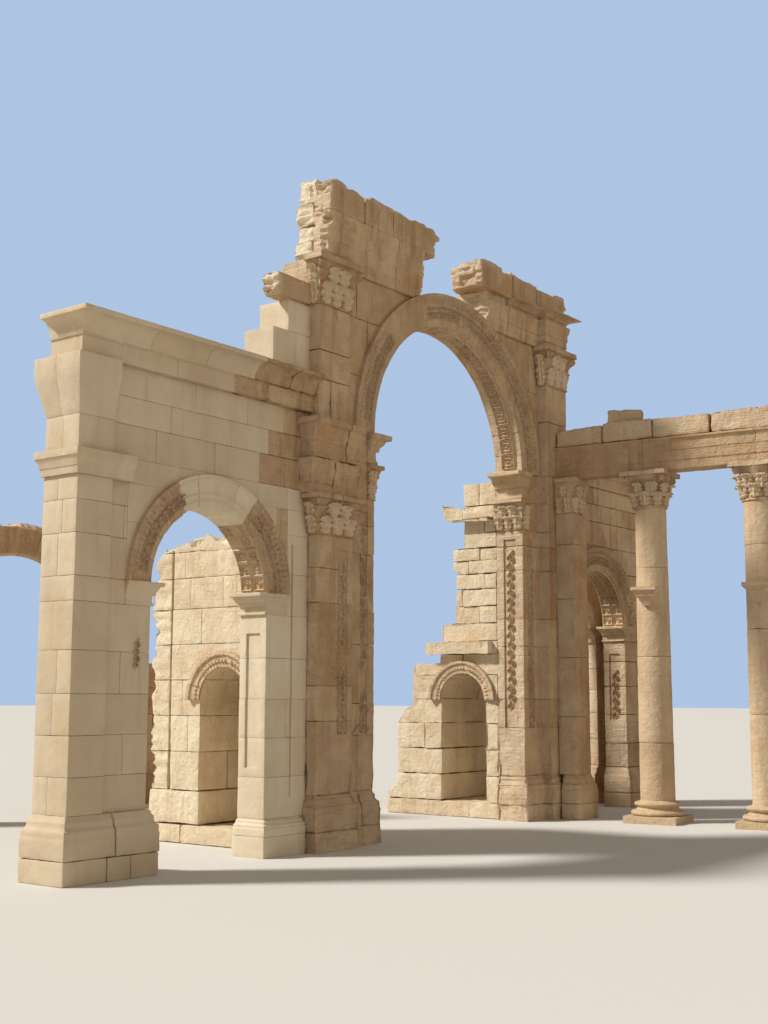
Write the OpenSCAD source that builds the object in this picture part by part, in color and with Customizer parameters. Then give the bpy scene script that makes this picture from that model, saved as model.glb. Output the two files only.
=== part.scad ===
// Ruined triumphal arch on a wedge-shaped plan. A tall middle arch stands between two
// lower side arches. A second facade meets the first at the right-hand end and opens
// away from it. Thick passage walls run back from the piers of the middle arch, and
// the end of a colonnade leans on the right pier.
// X runs along the front facade from the left jamb of the middle opening, Y goes in
// through the openings from the facade's plane, and Z is up from the ground.

/* [Openings] */
// Clear width of the middle arch
centre_w = 7000; // [6400:50:7400]
// Clear width of each side arch
side_w = 3440; // [3000:20:3600]
// Springing height of the middle arch
centre_spring = 9930; // [9700:10:10200]
// Springing height of the side arches
side_spring = 5730; // [5400:10:5900]
// Width of the archivolt round the middle arch
centre_ring = 860; // [760:10:900]
// Width of the archivolt round the side arches
side_ring = 680; // [600:10:740]

/* [Piers] */
// Width of the pier between the middle and the left side arch
left_pier_w = 3900; // [3700:20:4300]
// Width of the pier between the middle and the right side arch
right_pier_w = 2800; // [2700:20:3200]
// Width of the free-standing left end pier
end_pier_w = 2060; // [1900:20:2500]
// Width of the pilaster on the left end pier
end_pilaster_w = 880; // [760:10:1000]
// How far the end pilaster stands out in front of and behind the wall
end_pilaster_out = 110; // [60:10:160]
// Length of the right end pier before the corner of the two facades
right_end_w = 1730; // [1500:10:2000]
// Thickness of the side bays' wall
wall_t = 780; // [700:10:860]
// Thickness of the middle arch and of the piers beside it
centre_t = 900; // [870:10:1000]

/* [Pilasters of the middle bay] */
// Width of the lower pilaster on the left pier
order_w = 1300; // [1200:10:1380]
// Width of the upper pilasters beside the middle arch
pilaster_w = 1170; // [1000:10:1200]
// How far both stand out
pilaster_out = 300; // [240:10:340]
// Distance of the left pilasters from the left edge of the pier
order_x = 1380; // [1300:10:1480]
// Height of the lower pilaster's capital
order_cap_h = 920; // [800:10:1000]
// Height of the upper pilasters' capitals
upper_cap_h = 1180; // [1000:10:1300]

/* [Courses of the side bays] */
// Height of the rough footing course
footing_h = 450; // [350:10:560]
// Height of the moulded pier bases on the footing
base_h = 800; // [700:10:900]
// How far the capital band starts under the crown of the side archivolts
band_drop = 450; // [380:5:470]
// Height of the capital band
capital_band_h = 490; // [470:5:560]
// Height of the architrave course
architrave_h = 680; // [600:10:760]
// Height of the frieze course
frieze_h = 1180; // [1100:10:1260]
// Height of the cornice course
cornice_h = 840; // [760:10:900]

/* [Upper courses of the middle bay] */
// How far the middle archivolt's crown reaches up past the entablature's underside
crown_rise = 460; // [360:10:560]
// Height of the entablature left of the arch's crown
left_entablature_h = 1320; // [1200:10:1400]
// Height of the entablature right of the arch's crown
right_entablature_h = 1080; // [1000:10:1200]
// Height of the attic course that is left on top
attic_h = 860; // [760:10:940]
// Depth of the stones that face the left attic
attic_face_t = 520; // [460:10:560]
// How far the attic stones stand in front of the facade's plane
attic_out = 220; // [160:10:260]

/* [Broken ends] */
// Distance of the left entablature's left end from the edge of the pier
left_end_x = 1800; // [1700:10:1900]
// Distance of its right end from the middle arch's axis
left_break_x = 1520; // [1450:10:1600]
// Distance of the left attic's right end from that axis
attic_break_x = 900; // [820:10:980]
// Distance of the right entablature's left end from that axis
right_break_x = 1500; // [1420:10:1580]
// Height of the lower restored block beside the left pilaster
step_h1 = 1000; // [900:10:1100]
// Height of the upper restored block
step_h2 = 750; // [650:10:850]
// Height of the old broken block on them
old_block_h = 500; // [420:10:580]

/* [Mouldings] */
// How far the cornice of the side bays stands out
cornice_out = 470; // [380:10:520]
// How far the cornice returns at the free end
cornice_end_out = 330; // [260:10:380]
// How far the cornice of the middle bay stands out
top_cornice_out = 380; // [300:10:440]
// How far the capital band stands out
band_out = 150; // [100:10:180]
// How far the plain frieze blocks swell out at the top
frieze_out = 190; // [140:10:230]
// How far the bases and footings stand out
base_out = 150; // [110:10:180]
// Height of the moulded impost of the middle arch
impost_h = 780; // [700:10:860]
// Height of the leafy band under that impost
impost_leaf_h = 900; // [800:10:960]
// How far the middle impost stands out into the opening
impost_out = 480; // [400:10:520]
// Height of the moulded impost of the side arches
side_impost_h = 480; // [420:10:540]
// How far the side imposts stand out into the openings
side_impost_out = 300; // [240:10:340]
// How far the hood mouldings of the arches stand out
hood_out = 110; // [80:10:140]
// Distance from the pier bases up to the sunk panels
panel_rise = 1350; // [1200:10:1500]
// Depth of the sunk panels on the piers
panel_depth = 45; // [30:5:60]

/* [Rear facade] */
// Angle between the two facades
wedge_angle = 30; // [28:1:32]
// Thickness of the rear facade
rear_t = 950; // [880:10:1000]
// Width of the rear facade's pier at the corner
rear_corner_w = 1240; // [1150:10:1340]
// Height of the stumps of the rear central piers
stump_h = 4400; // [3600:50:4900]
// Wall that is left above the archivolts of the rear side bays
rear_cover = 200; // [160:10:400]

/* [Passage walls] */
// Thickness of the passage walls
passage_t = 3000; // [2800:50:3100]
// How far the left passage wall still runs back behind the facade's plane
left_passage_len = 4600; // [4400:50:4800]
// Height of the left passage wall
left_passage_h = 7400; // [7100:50:7500]
// How far the high part of the right passage wall runs back
right_passage_len = 2350; // [2250:10:2450]
// Height of the high part of the right passage wall
right_passage_h = 8700; // [8550:10:8850]
// How far the low part of the right passage wall runs back
right_low_len = 4550; // [4400:50:4700]
// Clear width of the low arches
low_w = 1560; // [1400:20:1640]
// Springing height of the low arches
low_spring = 3370; // [3200:10:3500]
// Width of the ring round a low arch
low_ring = 360; // [300:10:400]
// Distance of the low arches' middle behind the facade's plane
low_y = 2120; // [2080:10:2160]

/* [Colonnade] */
// Distance of the beam's middle from the middle opening's right jamb
colonnade_x = 1770; // [1700:10:1900]
// Distance of the first column's middle from the front facade
column_y = 3050; // [2900:50:3300]
// Distance between two columns
column_gap = 3150; // [2900:50:3400]
// Turn of the colonnade away from square with the facade
column_turn = 6; // [4:1:8]
// How far the columns end under the springing of the middle arch
column_drop = 50; // [0:10:150]
// Diameter of a shaft above its base
shaft_d = 960; // [900:10:1000]
// Diameter of a shaft under its capital
shaft_top_d = 870; // [800:10:890]
// Height of a column's base with its plinth
column_base_h = 620; // [560:10:700]
// Height of a column capital
capital_h = 1060; // [960:10:1120]
// Height of the underside of the statue brackets
bracket_z = 6020; // [5600:20:6400]
// Width of the beam that the columns carry
beam_w = 800; // [700:10:840]
// Height of the architrave beam
beam_h = 930; // [860:10:980]
// Height of the worn frieze course on the beam
beam_frieze_h = 640; // [560:10:700]
// How far the beam runs on beyond the second column's middle
beam_tail = 700; // [600:10:900]
// How far the pier under the beam's end stands out from the pilaster
respond_out = 600; // [520:10:680]

/* [Hidden] */
$fn = 96;
// Facets of the arch rings and of the walls cut to them
ring_fn = 384;
// Extra reach of a cutting shape beyond the stone it cuts
over = 50;
old_stone = "#b08a5c";
new_stone = "#c8b48c";
pale_stone = "#d9c9a6";

// Places along the front facade
mid = centre_w / 2;
lx1 = -left_pier_w;
lx0 = lx1 - side_w;
ex = lx0 - end_pier_w;
rx0 = centre_w + right_pier_w;
rx1 = rx0 + side_w;
left_axis = (lx0 + lx1) / 2;
right_axis = (rx0 + rx1) / 2;
corner_x = rx1 + right_end_w;
pil_l = lx1 + order_x;
pil_r = rx0 - side_ring - pilaster_w;
colonnade_at = centre_w + colonnade_x;

// Levels
base_top = footing_h + base_h;
side_impost_z = side_spring - side_impost_h;
side_crown_z = side_spring + side_w / 2 + side_ring;
capital_z = side_crown_z - band_drop;
architrave_z = capital_z + capital_band_h;
frieze_z = architrave_z + architrave_h;
cornice_z = frieze_z + frieze_h;
cornice_top = cornice_z + cornice_h;
impost_z = centre_spring - impost_h;
impost_leaf_z = impost_z - impost_leaf_h;
impost_in = 300;
entablature_z = centre_spring + mid + centre_ring - crown_rise;
upper_cap_z = entablature_z - upper_cap_h;
order_block_z = architrave_z - 70;
order_cap_z = order_block_z - order_cap_h;
left_cornice_z = entablature_z + left_entablature_h;
right_cornice_z = entablature_z + right_entablature_h;
crown_h = 260;
panel_z = base_top + panel_rise;
column_h = centre_spring - column_drop;

// Places along the rear facade, from the corner
rear_x1 = rear_corner_w + side_w;
rear_x2 = rear_x1 + right_pier_w;
rear_x3 = rear_x2 + centre_w;
rear_x4 = rear_x3 + left_pier_w;
rear_x5 = rear_x4 + side_w;
rear_x6 = rear_x5 + end_pier_w;
rear_wall_top = side_crown_z + rear_cover;
rear_axis_r = rear_corner_w + side_w / 2;
rear_axis_l = rear_x4 + side_w / 2;
beam_end = column_y + column_gap + beam_tail;

// Profiles are lists of [overhang, height] from the bottom up, drawn one by one high
function sized(p, o, h) = [for (q = p) [q[0] * o, q[1] * h]];
function quarter(n) = [for (i = [0:n]) [1 - cos(90 * i / n), sin(90 * i / n)]];
function total(list, n) = n == 0 ? 0 : list[n - 1] + total(list, n - 1);
// Point on the rear facade's inner face, at x along it from the corner
function rear_point(x) = [corner_x - x * cos(wedge_angle), wall_t + x * sin(wedge_angle)];
cornice_line = concat([[0, 0], [0.1, 0], [0.1, 0.42], [0.2, 0.44]],
    [for (q = quarter(5)) [0.2 + 0.72 * q[0], 0.46 + 0.42 * q[1]]], [[1, 0.88], [1, 1]]);
band_line = [[0, 0], [0.4, 0], [0.4, 0.28], [0.5, 0.3], [0.62, 0.5], [0.85, 0.66],
    [1, 0.7], [1, 1]];
frieze_line = [[0, 0], [0.22, 0.16], [0.62, 0.42], [0.9, 0.62], [1, 0.76], [1, 1]];
base_line = [[1, 0], [1, 0.45], [0.86, 0.5], [0.9, 0.58], [0.84, 0.66], [0.55, 0.7],
    [0.42, 0.78], [0.44, 0.86], [0.2, 0.9], [0, 1]];
impost_line = [[0, 0], [0.2, 0], [0.2, 0.1], [0.08, 0.14], [0.08, 0.4], [0.28, 0.44],
    [0.32, 0.56], [0.55, 0.68], [0.66, 0.8], [1, 0.84], [1, 1]];
leaf_line = [[0.1, 0], [0.18, 0.03], [0.1, 0.06], [0.14, 0.28], [0.34, 0.37], [0.24, 0.41],
    [0.3, 0.58], [0.54, 0.68], [0.42, 0.72], [0.66, 0.86], [1, 0.88], [1, 1]];
fascia_line = [[0, 0], [0.16, 0], [0.16, 0.2], [0.34, 0.22], [0.34, 0.44], [0.54, 0.46],
    [0.54, 0.7], [0.8, 0.76], [0.9, 0.84], [1, 0.88], [1, 1]];
beam_line = [[0.84, 0], [0.84, 0.26], [0.9, 0.28], [0.9, 0.58], [0.95, 0.6], [0.95, 0.84],
    [1.05, 0.92], [1.12, 0.94], [1.12, 1]];
bracket_line = [[-1.4, 0], [-0.5, 0.42], [0, 0.5], [0.1, 0.52], [0.1, 0.62], [0.6, 0.72],
    [0.9, 0.8], [1, 0.82], [1, 1]];

// Side view of a block between a0 and a1, grown by the profile on its free sides
module side_view(a0, a1, z, line, free0, free1) {
    last = len(line) - 1;
    polygon(concat([for (i = [0:last]) [a0 - free0 * line[i][0], z + line[i][1]]],
        [for (i = [last:-1:0]) [a1 + free1 * line[i][0], z + line[i][1]]]));
}

// Block whose moulding returns round its free sides with mitred corners.
// free = [left, right, front, back]: 0 is a plain joint, 1 the profile's whole overhang
module moulded(x0, x1, y0, y1, z, line, free = [1, 1, 1, 1]) {
    reach = 1500;
    intersection() {
        translate([0, y1 + reach, 0]) rotate([90, 0, 0])
            linear_extrude(height = y1 - y0 + 2 * reach)
                side_view(x0, x1, z, line, free[0], free[1]);
        translate([x0 - reach, 0, 0]) rotate([90, 0, 90])
            linear_extrude(height = x1 - x0 + 2 * reach)
                side_view(y0, y1, z, line, free[2], free[3]);
    }
}

module block(x0, x1, y0, y1, z0, z1) {
    translate([x0, y0, z0]) cube([x1 - x0, y1 - y0, z1 - z0]);
}

// Moulded base on its rough footing block, with a plain joint where free is 0
module pier_base(x0, x1, y0, y1, free) {
    moulded(x0, x1, y0, y1, footing_h, sized(base_line, base_out, base_h), free);
    block(x0 - free[0] * base_out, x1 + free[1] * base_out, y0 - free[2] * base_out,
        y1 + free[3] * base_out, 0, footing_h);
}

// Outline drawn in the facade's plane (X and Z), with depth from y0 to y1
module wall_slab(y0, y1) {
    translate([0, y1, 0]) rotate([90, 0, 0]) linear_extrude(height = y1 - y0) children();
}

// Outline drawn across a passage wall (Y and Z), with depth from x0 to x1
module cross_slab(x0, x1) {
    translate([x0, 0, 0]) rotate([90, 0, 90]) linear_extrude(height = x1 - x0) children();
}

// Archivolt on a half circle: three fasciae step out to a sloping hood moulding
module archivolt(x, z, w, ring, t, a0 = 0, a1 = 180) {
    r = w / 2;
    line = [[r, 0], [r + 0.2 * ring, 0], [r + 0.21 * ring, 0.2 * hood_out],
        [r + 0.42 * ring, 0.2 * hood_out], [r + 0.43 * ring, 0.42 * hood_out],
        [r + 0.66 * ring, 0.42 * hood_out], [r + 0.78 * ring, 0.6 * hood_out],
        [r + 0.88 * ring, hood_out], [r + ring, hood_out], [r + ring, -t], [r, -t]];
    translate([x, 0, z]) rotate([90, 0, 0]) rotate([0, 0, a0])
        rotate_extrude(angle = a1 - a0, $fn = ring_fn) polygon(line);
}

// Round space of an arch, open to below its springing
module arch_space(x, z, r, y0, y1) {
    translate([x, y1 + over, z]) rotate([90, 0, 0])
        cylinder(r = r, h = y1 - y0 + 2 * over, $fn = ring_fn);
    block(x - r, x + r, y0 - over, y1 + over, z - 2 * r, z);
}

// Rear facade's own frame: x runs left along it and its outer side faces -y
module rear_frame() {
    translate([corner_x, wall_t, 0]) rotate([0, 0, 180 - wedge_angle]) children();
}

// Frame of the rear facade with the outer face at y = 0 and the inner at rear_t
module rear_wall_frame() {
    rear_frame() translate([0, -rear_t, 0]) children();
}

// Everything that lies beyond the rear facade's inner face
module beyond_rear_face() {
    rear_frame() block(-5000, 40000, -20000, 0, -over, 20000);
}

// Wedge of masonry that closes the acute corner between the two facades
module corner_wedge(z0, z1) {
    tip = [corner_x + rear_t * sin(wedge_angle), wall_t + rear_t * cos(wedge_angle)];
    translate([0, 0, z0]) linear_extrude(height = z1 - z0)
        polygon([[corner_x, 0], [corner_x, wall_t], tip]);
}

// The colonnade's own frame: its run goes along -y
module colonnade_frame() {
    translate([colonnade_at, 0, 0]) rotate([0, 0, column_turn]) children();
}

module at_columns() {
    colonnade_frame() for (i = [0:1]) translate([0, -column_y - i * column_gap, 0]) children();
}

module end_pier_base() {
    color(pale_stone) pier_base(ex, lx0, -end_pilaster_out, wall_t + end_pilaster_out,
        [1, 1, 1, 1]);
}

module end_pier_shaft() {
    color(new_stone) {
        block(ex, lx0, 0, wall_t, base_top, side_impost_z);
        block(ex, lx0 - side_ring, 0, wall_t, side_impost_z, capital_z);
        block(ex, ex + end_pilaster_w, -end_pilaster_out, wall_t + end_pilaster_out,
            base_top, capital_z);
    }
}

module end_pier_capital() {
    color(new_stone) moulded(ex, lx0 - side_ring, -end_pilaster_out,
        wall_t + end_pilaster_out, capital_z, sized(band_line, band_out, capital_band_h),
        [1, 0, 1, 1]);
}

module end_pier_frieze_block() {
    color(new_stone) {
        block(ex, ex + end_pilaster_w, -end_pilaster_out, wall_t + end_pilaster_out,
            architrave_z, frieze_z);
        moulded(ex, ex + end_pilaster_w, -end_pilaster_out, wall_t + end_pilaster_out,
            frieze_z, sized(frieze_line, frieze_out, frieze_h), [1, 0, 1, 1]);
    }
}

// Impost of a side arch: the moulding stands out into the opening on the side
// where free is 1, and a little in front and behind
module side_impost(x0, x1, free0, free1, t) {
    moulded(x0, x1, 0, t, side_impost_z, sized(impost_line, side_impost_out, side_impost_h),
        [free0, free1, 0.3, 0.3]);
}

module left_arch_imposts() {
    color(new_stone) {
        side_impost(lx0 - side_ring, lx0, 0, 1, wall_t);
        side_impost(lx1, lx1 + side_ring, 1, 0, wall_t);
    }
}

// Angles between which the left arch has its plain restored voussoirs
restored_a0 = 58;
restored_a1 = 118;

module left_arch_springers() {
    color(old_stone) {
        archivolt(left_axis, side_spring, side_w, side_ring, wall_t, 0, restored_a0);
        archivolt(left_axis, side_spring, side_w, side_ring, wall_t, restored_a1, 180);
    }
}

module left_arch_crown() {
    color(pale_stone) archivolt(left_axis, side_spring, side_w, side_ring, wall_t,
        restored_a0, restored_a1);
}

module left_bay_wall() {
    color(new_stone) {
        difference() {
            block(lx0 - side_ring, lx1 + side_ring, 0, wall_t, side_spring, architrave_z);
            arch_space(left_axis, side_spring, side_w / 2 + side_ring, 0, wall_t);
        }
        block(ex + end_pilaster_w, pil_l, 0, wall_t, architrave_z, cornice_z);
    }
}

module left_bay_cornice() {
    end = cornice_end_out / cornice_out;
    color(new_stone) moulded(ex, pil_l, -end_pilaster_out, wall_t, cornice_z,
        sized(cornice_line, cornice_out, cornice_h), [end, 0, 1, 0]);
}

module left_jamb_pier() {
    low_base_h = 360;
    color(pale_stone) difference() {
        union() {
            block(lx1, pil_l, 0, wall_t, 0, side_impost_z);
            block(lx1 + side_ring, pil_l, 0, wall_t, side_impost_z, architrave_z);
            moulded(lx1, pil_l - base_out, 0, wall_t, footing_h,
                sized(base_line, base_out, low_base_h), [1, 0, 1, 0]);
            block(lx1 - base_out, pil_l - base_out, -base_out, wall_t, 0, footing_h);
        }
        block(lx1 - over, lx1 + panel_depth, 0.24 * wall_t, 0.76 * wall_t,
            base_top + 650, side_impost_z - 400);
        block(pil_l - 560, pil_l - 500, -over, panel_depth, base_top, order_cap_z - 300);
    }
}

// Two restored blocks step up to the pilaster and carry one old broken block
module left_stepped_stones() {
    step_z1 = cornice_top + step_h1;
    step_z2 = step_z1 + step_h2;
    step_z3 = step_z2 + old_block_h;
    color(pale_stone) {
        block(lx1 + 110, pil_l, 0, centre_t, cornice_top, step_z1);
        block(lx1 + 610, pil_l, 0, centre_t, step_z1, step_z2);
    }
    color(old_stone) wall_slab(-150, 0.38 * centre_t)
        polygon([[lx1 - 100, step_z2 + 60], [lx1 + 60, step_z2], [pil_l - 110, step_z2],
            [pil_l - 110, step_z3], [lx1 - 160, step_z3 + 30], [lx1 - 220, step_z3 - 120]]);
}

module left_pier() {
    panel_top = impost_leaf_z - 250;
    color(old_stone) difference() {
        union() {
            block(pil_l, 0, 0, centre_t, 0, impost_leaf_z);
            block(pil_l, -impost_in, 0, centre_t, impost_leaf_z, centre_spring);
            block(pil_l, pil_l + pilaster_w, 0, centre_t, centre_spring, cornice_top);
            pier_base(pil_l + order_w + base_out, 0, 0, centre_t, [0, 1, 1, 0]);
        }
        block(-560, -260, -over, panel_depth, panel_z, panel_top);
        block(-panel_depth, over, 0.28 * centre_t, 0.72 * centre_t, panel_z, panel_top);
    }
}

module left_pier_pilaster() {
    color(old_stone) difference() {
        union() {
            block(pil_l, pil_l + order_w, -pilaster_out, 0, base_top, order_cap_z);
            pier_base(pil_l, pil_l + order_w, -pilaster_out, 0, [1, 1, 1, 0]);
        }
        block(pil_l + 0.58 * order_w, pil_l + 0.86 * order_w, -pilaster_out - over,
            -pilaster_out + panel_depth, panel_z, order_cap_z - 300);
    }
}

// Scroll under one corner of a capital's slab. It grows out of the bell along +x and
// ends in a round eye.
module corner_scroll(reach, h) {
    thick = 90;
    eye = 0.11 * h;
    translate([0, thick / 2, 0]) rotate([90, 0, 0]) linear_extrude(height = thick) {
        polygon([[0, 0.5 * h], [reach - 1.6 * eye, h - 1.2 * eye], [reach - eye, 1.03 * h],
            [0, 1.03 * h]]);
        translate([reach - eye, h - 0.9 * eye]) circle(r = eye);
    }
}

// Capital of a pilaster w wide: leafy tiers, a slab and a scroll under each front corner
module pilaster_capital(x, w, z, h, out) {
    inset = 100;
    reach = 1.2 * out + sqrt(2) * inset;
    moulded(x, x + w, -pilaster_out, 0, z, sized(leaf_line, out, h), [1, 1, 1, 0]);
    for (side = [0, 1])
        translate([x + inset + side * (w - 2 * inset), inset - pilaster_out, z])
            rotate(225 + 90 * side) corner_scroll(reach, 0.87 * h);
}

module left_order_capital() {
    color(old_stone) pilaster_capital(pil_l, order_w, order_cap_z, order_cap_h, 300);
}

// Entablature blocks that break forward over the lower pilaster
module left_order_blocks() {
    shelf = 250;
    lower_h = 830;
    upper_h = 950;
    color(old_stone) {
        moulded(pil_l - shelf, pil_l + order_w, -pilaster_out, 0, order_block_z,
            sized(band_line, 160, lower_h), [1, 1, 1, 0]);
        moulded(pil_l - shelf, pil_l + order_w, -pilaster_out - 80, 0,
            order_block_z + lower_h, sized(impost_line, 200, upper_h), [1, 1, 1, 0]);
        block(pil_l, pil_l + pilaster_w, -pilaster_out, 0, order_block_z, cornice_top);
    }
}

// Left impost of the middle arch: a leafy band under a deep moulding
module centre_impost() {
    moulded(-impost_in, 0, 0, centre_t, impost_leaf_z, sized(leaf_line, 260, impost_leaf_h),
        [0, 1, 0.5, 0]);
    moulded(-impost_in, 0, 0, centre_t, impost_z, sized(impost_line, impost_out, impost_h),
        [0, 1, 0.4, 0]);
}

module centre_imposts() {
    color(old_stone) {
        centre_impost();
        translate([centre_w, 0, 0]) mirror([1, 0, 0]) centre_impost();
    }
}

module centre_arch_ring() {
    color(old_stone) archivolt(mid, centre_spring, centre_w, centre_ring, centre_t);
}

// Ring's outer edge, cut out of what surrounds the middle arch
module centre_ring_space(y0, y1) {
    translate([mid, y1 + over, centre_spring]) rotate([90, 0, 0])
        cylinder(r = mid + centre_ring, h = y1 - y0 + 2 * over, $fn = ring_fn);
}

module left_spandrel() {
    color(old_stone) difference() {
        block(pil_l + pilaster_w, mid - 1800, 0, centre_t, centre_spring, entablature_z);
        centre_ring_space(0, centre_t);
    }
}

module right_spandrel() {
    color(old_stone) difference() {
        block(mid + 1600, pil_r, 0, centre_t, centre_spring, entablature_z);
        centre_ring_space(0, centre_t);
    }
}

// Core of a wall pier up to the entablature, with its pilaster in front
module upper_pilaster(x, z) {
    block(x, x + pilaster_w, 0, centre_t, z, entablature_z);
    block(x, x + pilaster_w, -pilaster_out, 0, z, upper_cap_z);
}

module upper_pilasters() {
    color(old_stone) {
        upper_pilaster(pil_l, cornice_top);
        upper_pilaster(pil_r, centre_spring);
    }
}

module upper_capitals() {
    color(old_stone) for (x = [pil_l, pil_r])
        pilaster_capital(x, pilaster_w, upper_cap_z, upper_cap_h, 260);
}

module left_entablature() {
    right_end = mid - left_break_x;
    color(old_stone) difference() {
        moulded(lx1 + left_end_x, right_end, -60, attic_face_t - attic_out, entablature_z,
            sized(fascia_line, attic_out - 60, left_entablature_h), [0, 0, 1, 0]);
        centre_ring_space(-400, attic_face_t);
        wall_slab(-400, attic_face_t) polygon([[right_end + over, entablature_z - over],
            [right_end - 260, entablature_z - over], [right_end + over, entablature_z + 420]]);
    }
}

module left_attic() {
    x0 = lx1 + left_end_x + 40;
    x1 = mid - attic_break_x;
    top = left_cornice_z + attic_h;
    color(old_stone) wall_slab(-attic_out, attic_face_t - attic_out)
        polygon([[x0, left_cornice_z], [x1 - 620, left_cornice_z], [x1 - 150, left_cornice_z - 90],
            [x1, left_cornice_z + 560], [x1 - 340, left_cornice_z + 740], [x1 - 2100, top - 130],
            [x1 - 3240, top - 90], [x0, top]]);
}

// Rough blocks of the core behind the facing of the left attic
module left_backing_stones() {
    course_h = [620, 420, 560, 640];
    color(old_stone) for (i = [0:3]) {
        z = entablature_z + total(course_h, i);
        block(lx1 + left_end_x - 20 + 40 * (i % 2), lx1 + left_end_x + 1500 - 330 * i,
            attic_face_t - attic_out, centre_t - 20 - 60 * (i % 2), z, z + course_h[i]);
    }
}

module right_pier() {
    panel_top = impost_leaf_z - 250;
    color(old_stone) difference() {
        union() {
            block(centre_w, rx0, 0, centre_t, 0, side_impost_z);
            block(centre_w, rx0 - side_ring, 0, centre_t, side_impost_z, impost_leaf_z);
            block(centre_w + impost_in, rx0 - side_ring, 0, centre_t, impost_leaf_z,
                centre_spring);
            block(pil_r, pil_r + pilaster_w, -pilaster_out, 0, base_top, centre_spring);
            pier_base(centre_w, rx0, 0, centre_t, [1, 1, 1, 0]);
            pier_base(pil_r, pil_r + pilaster_w, -pilaster_out, 0, [1, 1, 1, 0]);
        }
        block(centre_w - over, centre_w + panel_depth, 0.28 * centre_t, 0.72 * centre_t,
            panel_z, panel_top);
        block(centre_w + 260, centre_w + 560, -over, panel_depth, panel_z, panel_top);
    }
}

module right_entablature() {
    x0 = mid + right_break_x;
    x1 = pil_r + pilaster_w;
    broken_w = 1150;
    line = sized(fascia_line, 120, right_entablature_h - crown_h);
    top_line = sized(cornice_line, top_cornice_out, crown_h);
    top_z = right_cornice_z - crown_h;
    color(old_stone) difference() {
        union() {
            moulded(x0, x1, -60, centre_t, entablature_z, line, [0, 1, 1, 0]);
            moulded(x0 + broken_w, x1, -60, centre_t, top_z, top_line, [0, 1, 1, 0]);
            block(x0, x0 + broken_w, -60, centre_t, top_z, right_cornice_z);
            moulded(pil_r, x1, -pilaster_out, 0, entablature_z, line, [1, 1, 1, 0]);
            moulded(pil_r, x1, -pilaster_out, 0, top_z, top_line, [1, 1, 1, 0]);
        }
        centre_ring_space(-800, centre_t);
    }
}

module right_attic() {
    x0 = mid + right_break_x - 380;
    x1 = pil_r + pilaster_w;
    top = right_cornice_z + attic_h;
    color(old_stone) wall_slab(-attic_out, centre_t - 100)
        polygon([[x0, right_cornice_z + 60], [x0 + 130, right_cornice_z],
            [x1 + 250, right_cornice_z], [x1 + 360, right_cornice_z + 420],
            [x1 + 80, top - 120], [x1 - 1500, top - 160], [x1 - 2800, top - 80],
            [x0 - 40, top], [x0 - 100, top - 260]]);
}

module right_arch_ring() {
    color(old_stone) archivolt(right_axis, side_spring, side_w, side_ring, wall_t);
}

module right_arch_imposts() {
    color(old_stone) {
        side_impost(rx0 - side_ring, rx0, 0, 1, wall_t);
        side_impost(rx1, rx1 + side_ring, 1, 0, wall_t);
    }
}

// Room that the colonnade's beam takes out of the wall cornice beside it
module colonnade_space() {
    block(rx0 - side_ring - over, colonnade_at + beam_w / 2 + 260, -2000, 0, 0,
        column_h + beam_h + beam_frieze_h);
}

module right_bay_wall() {
    color(old_stone) {
        difference() {
            block(rx0 - side_ring, corner_x, 0, wall_t, side_spring, cornice_z);
            arch_space(right_axis, side_spring, side_w / 2 + side_ring, 0, wall_t);
        }
        difference() {
            moulded(rx0 - side_ring, corner_x, 0, wall_t, cornice_z,
                sized(cornice_line, cornice_out, cornice_h), [0, 0.4, 1, 0]);
            colonnade_space();
        }
    }
}

// Acute corner pier that the front and the rear facade share
module right_end_pier() {
    color(old_stone) difference() {
        union() {
            block(rx1, corner_x, 0, wall_t, 0, side_impost_z);
            block(rx1 + side_ring, corner_x, 0, wall_t, side_impost_z, side_spring);
            pier_base(rx1, corner_x, 0, wall_t, [1, 0, 1, 0]);
            corner_wedge(0, side_spring);
        }
        block(rx1 - over, rx1 + panel_depth, 0.25 * wall_t, 0.75 * wall_t, base_top + 1500,
            side_impost_z - 400);
    }
}

// Low arched way through a passage wall between x0 and x1
module low_way(x0, x1) {
    translate([x0 - over, low_y, low_spring]) rotate([90, 0, 90])
        cylinder(d = low_w, h = x1 - x0 + 2 * over);
    block(x0 - over, x1 + over, low_y - low_w / 2, low_y + low_w / 2, footing_h, low_spring);
}

// Left passage wall with its ragged end, and the footing that ran on to the rear pier
module left_passage_wall() {
    x0 = -passage_t;
    y1 = left_passage_len;
    top = left_passage_h;
    color(old_stone) difference() {
        union() {
            cross_slab(x0, 0) polygon([[centre_t, 0], [y1, 0], [y1, top - 560],
                [y1 - 260, top - 520], [y1 - 420, top - 180], [y1 - 1300, top - 60],
                [y1 - 2100, top], [centre_t, top]]);
            linear_extrude(height = footing_h)
                polygon([[x0, y1], [0, y1], rear_point(rear_x3 + 300), rear_point(rear_x4)]);
        }
        low_way(x0, 0);
    }
}

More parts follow.
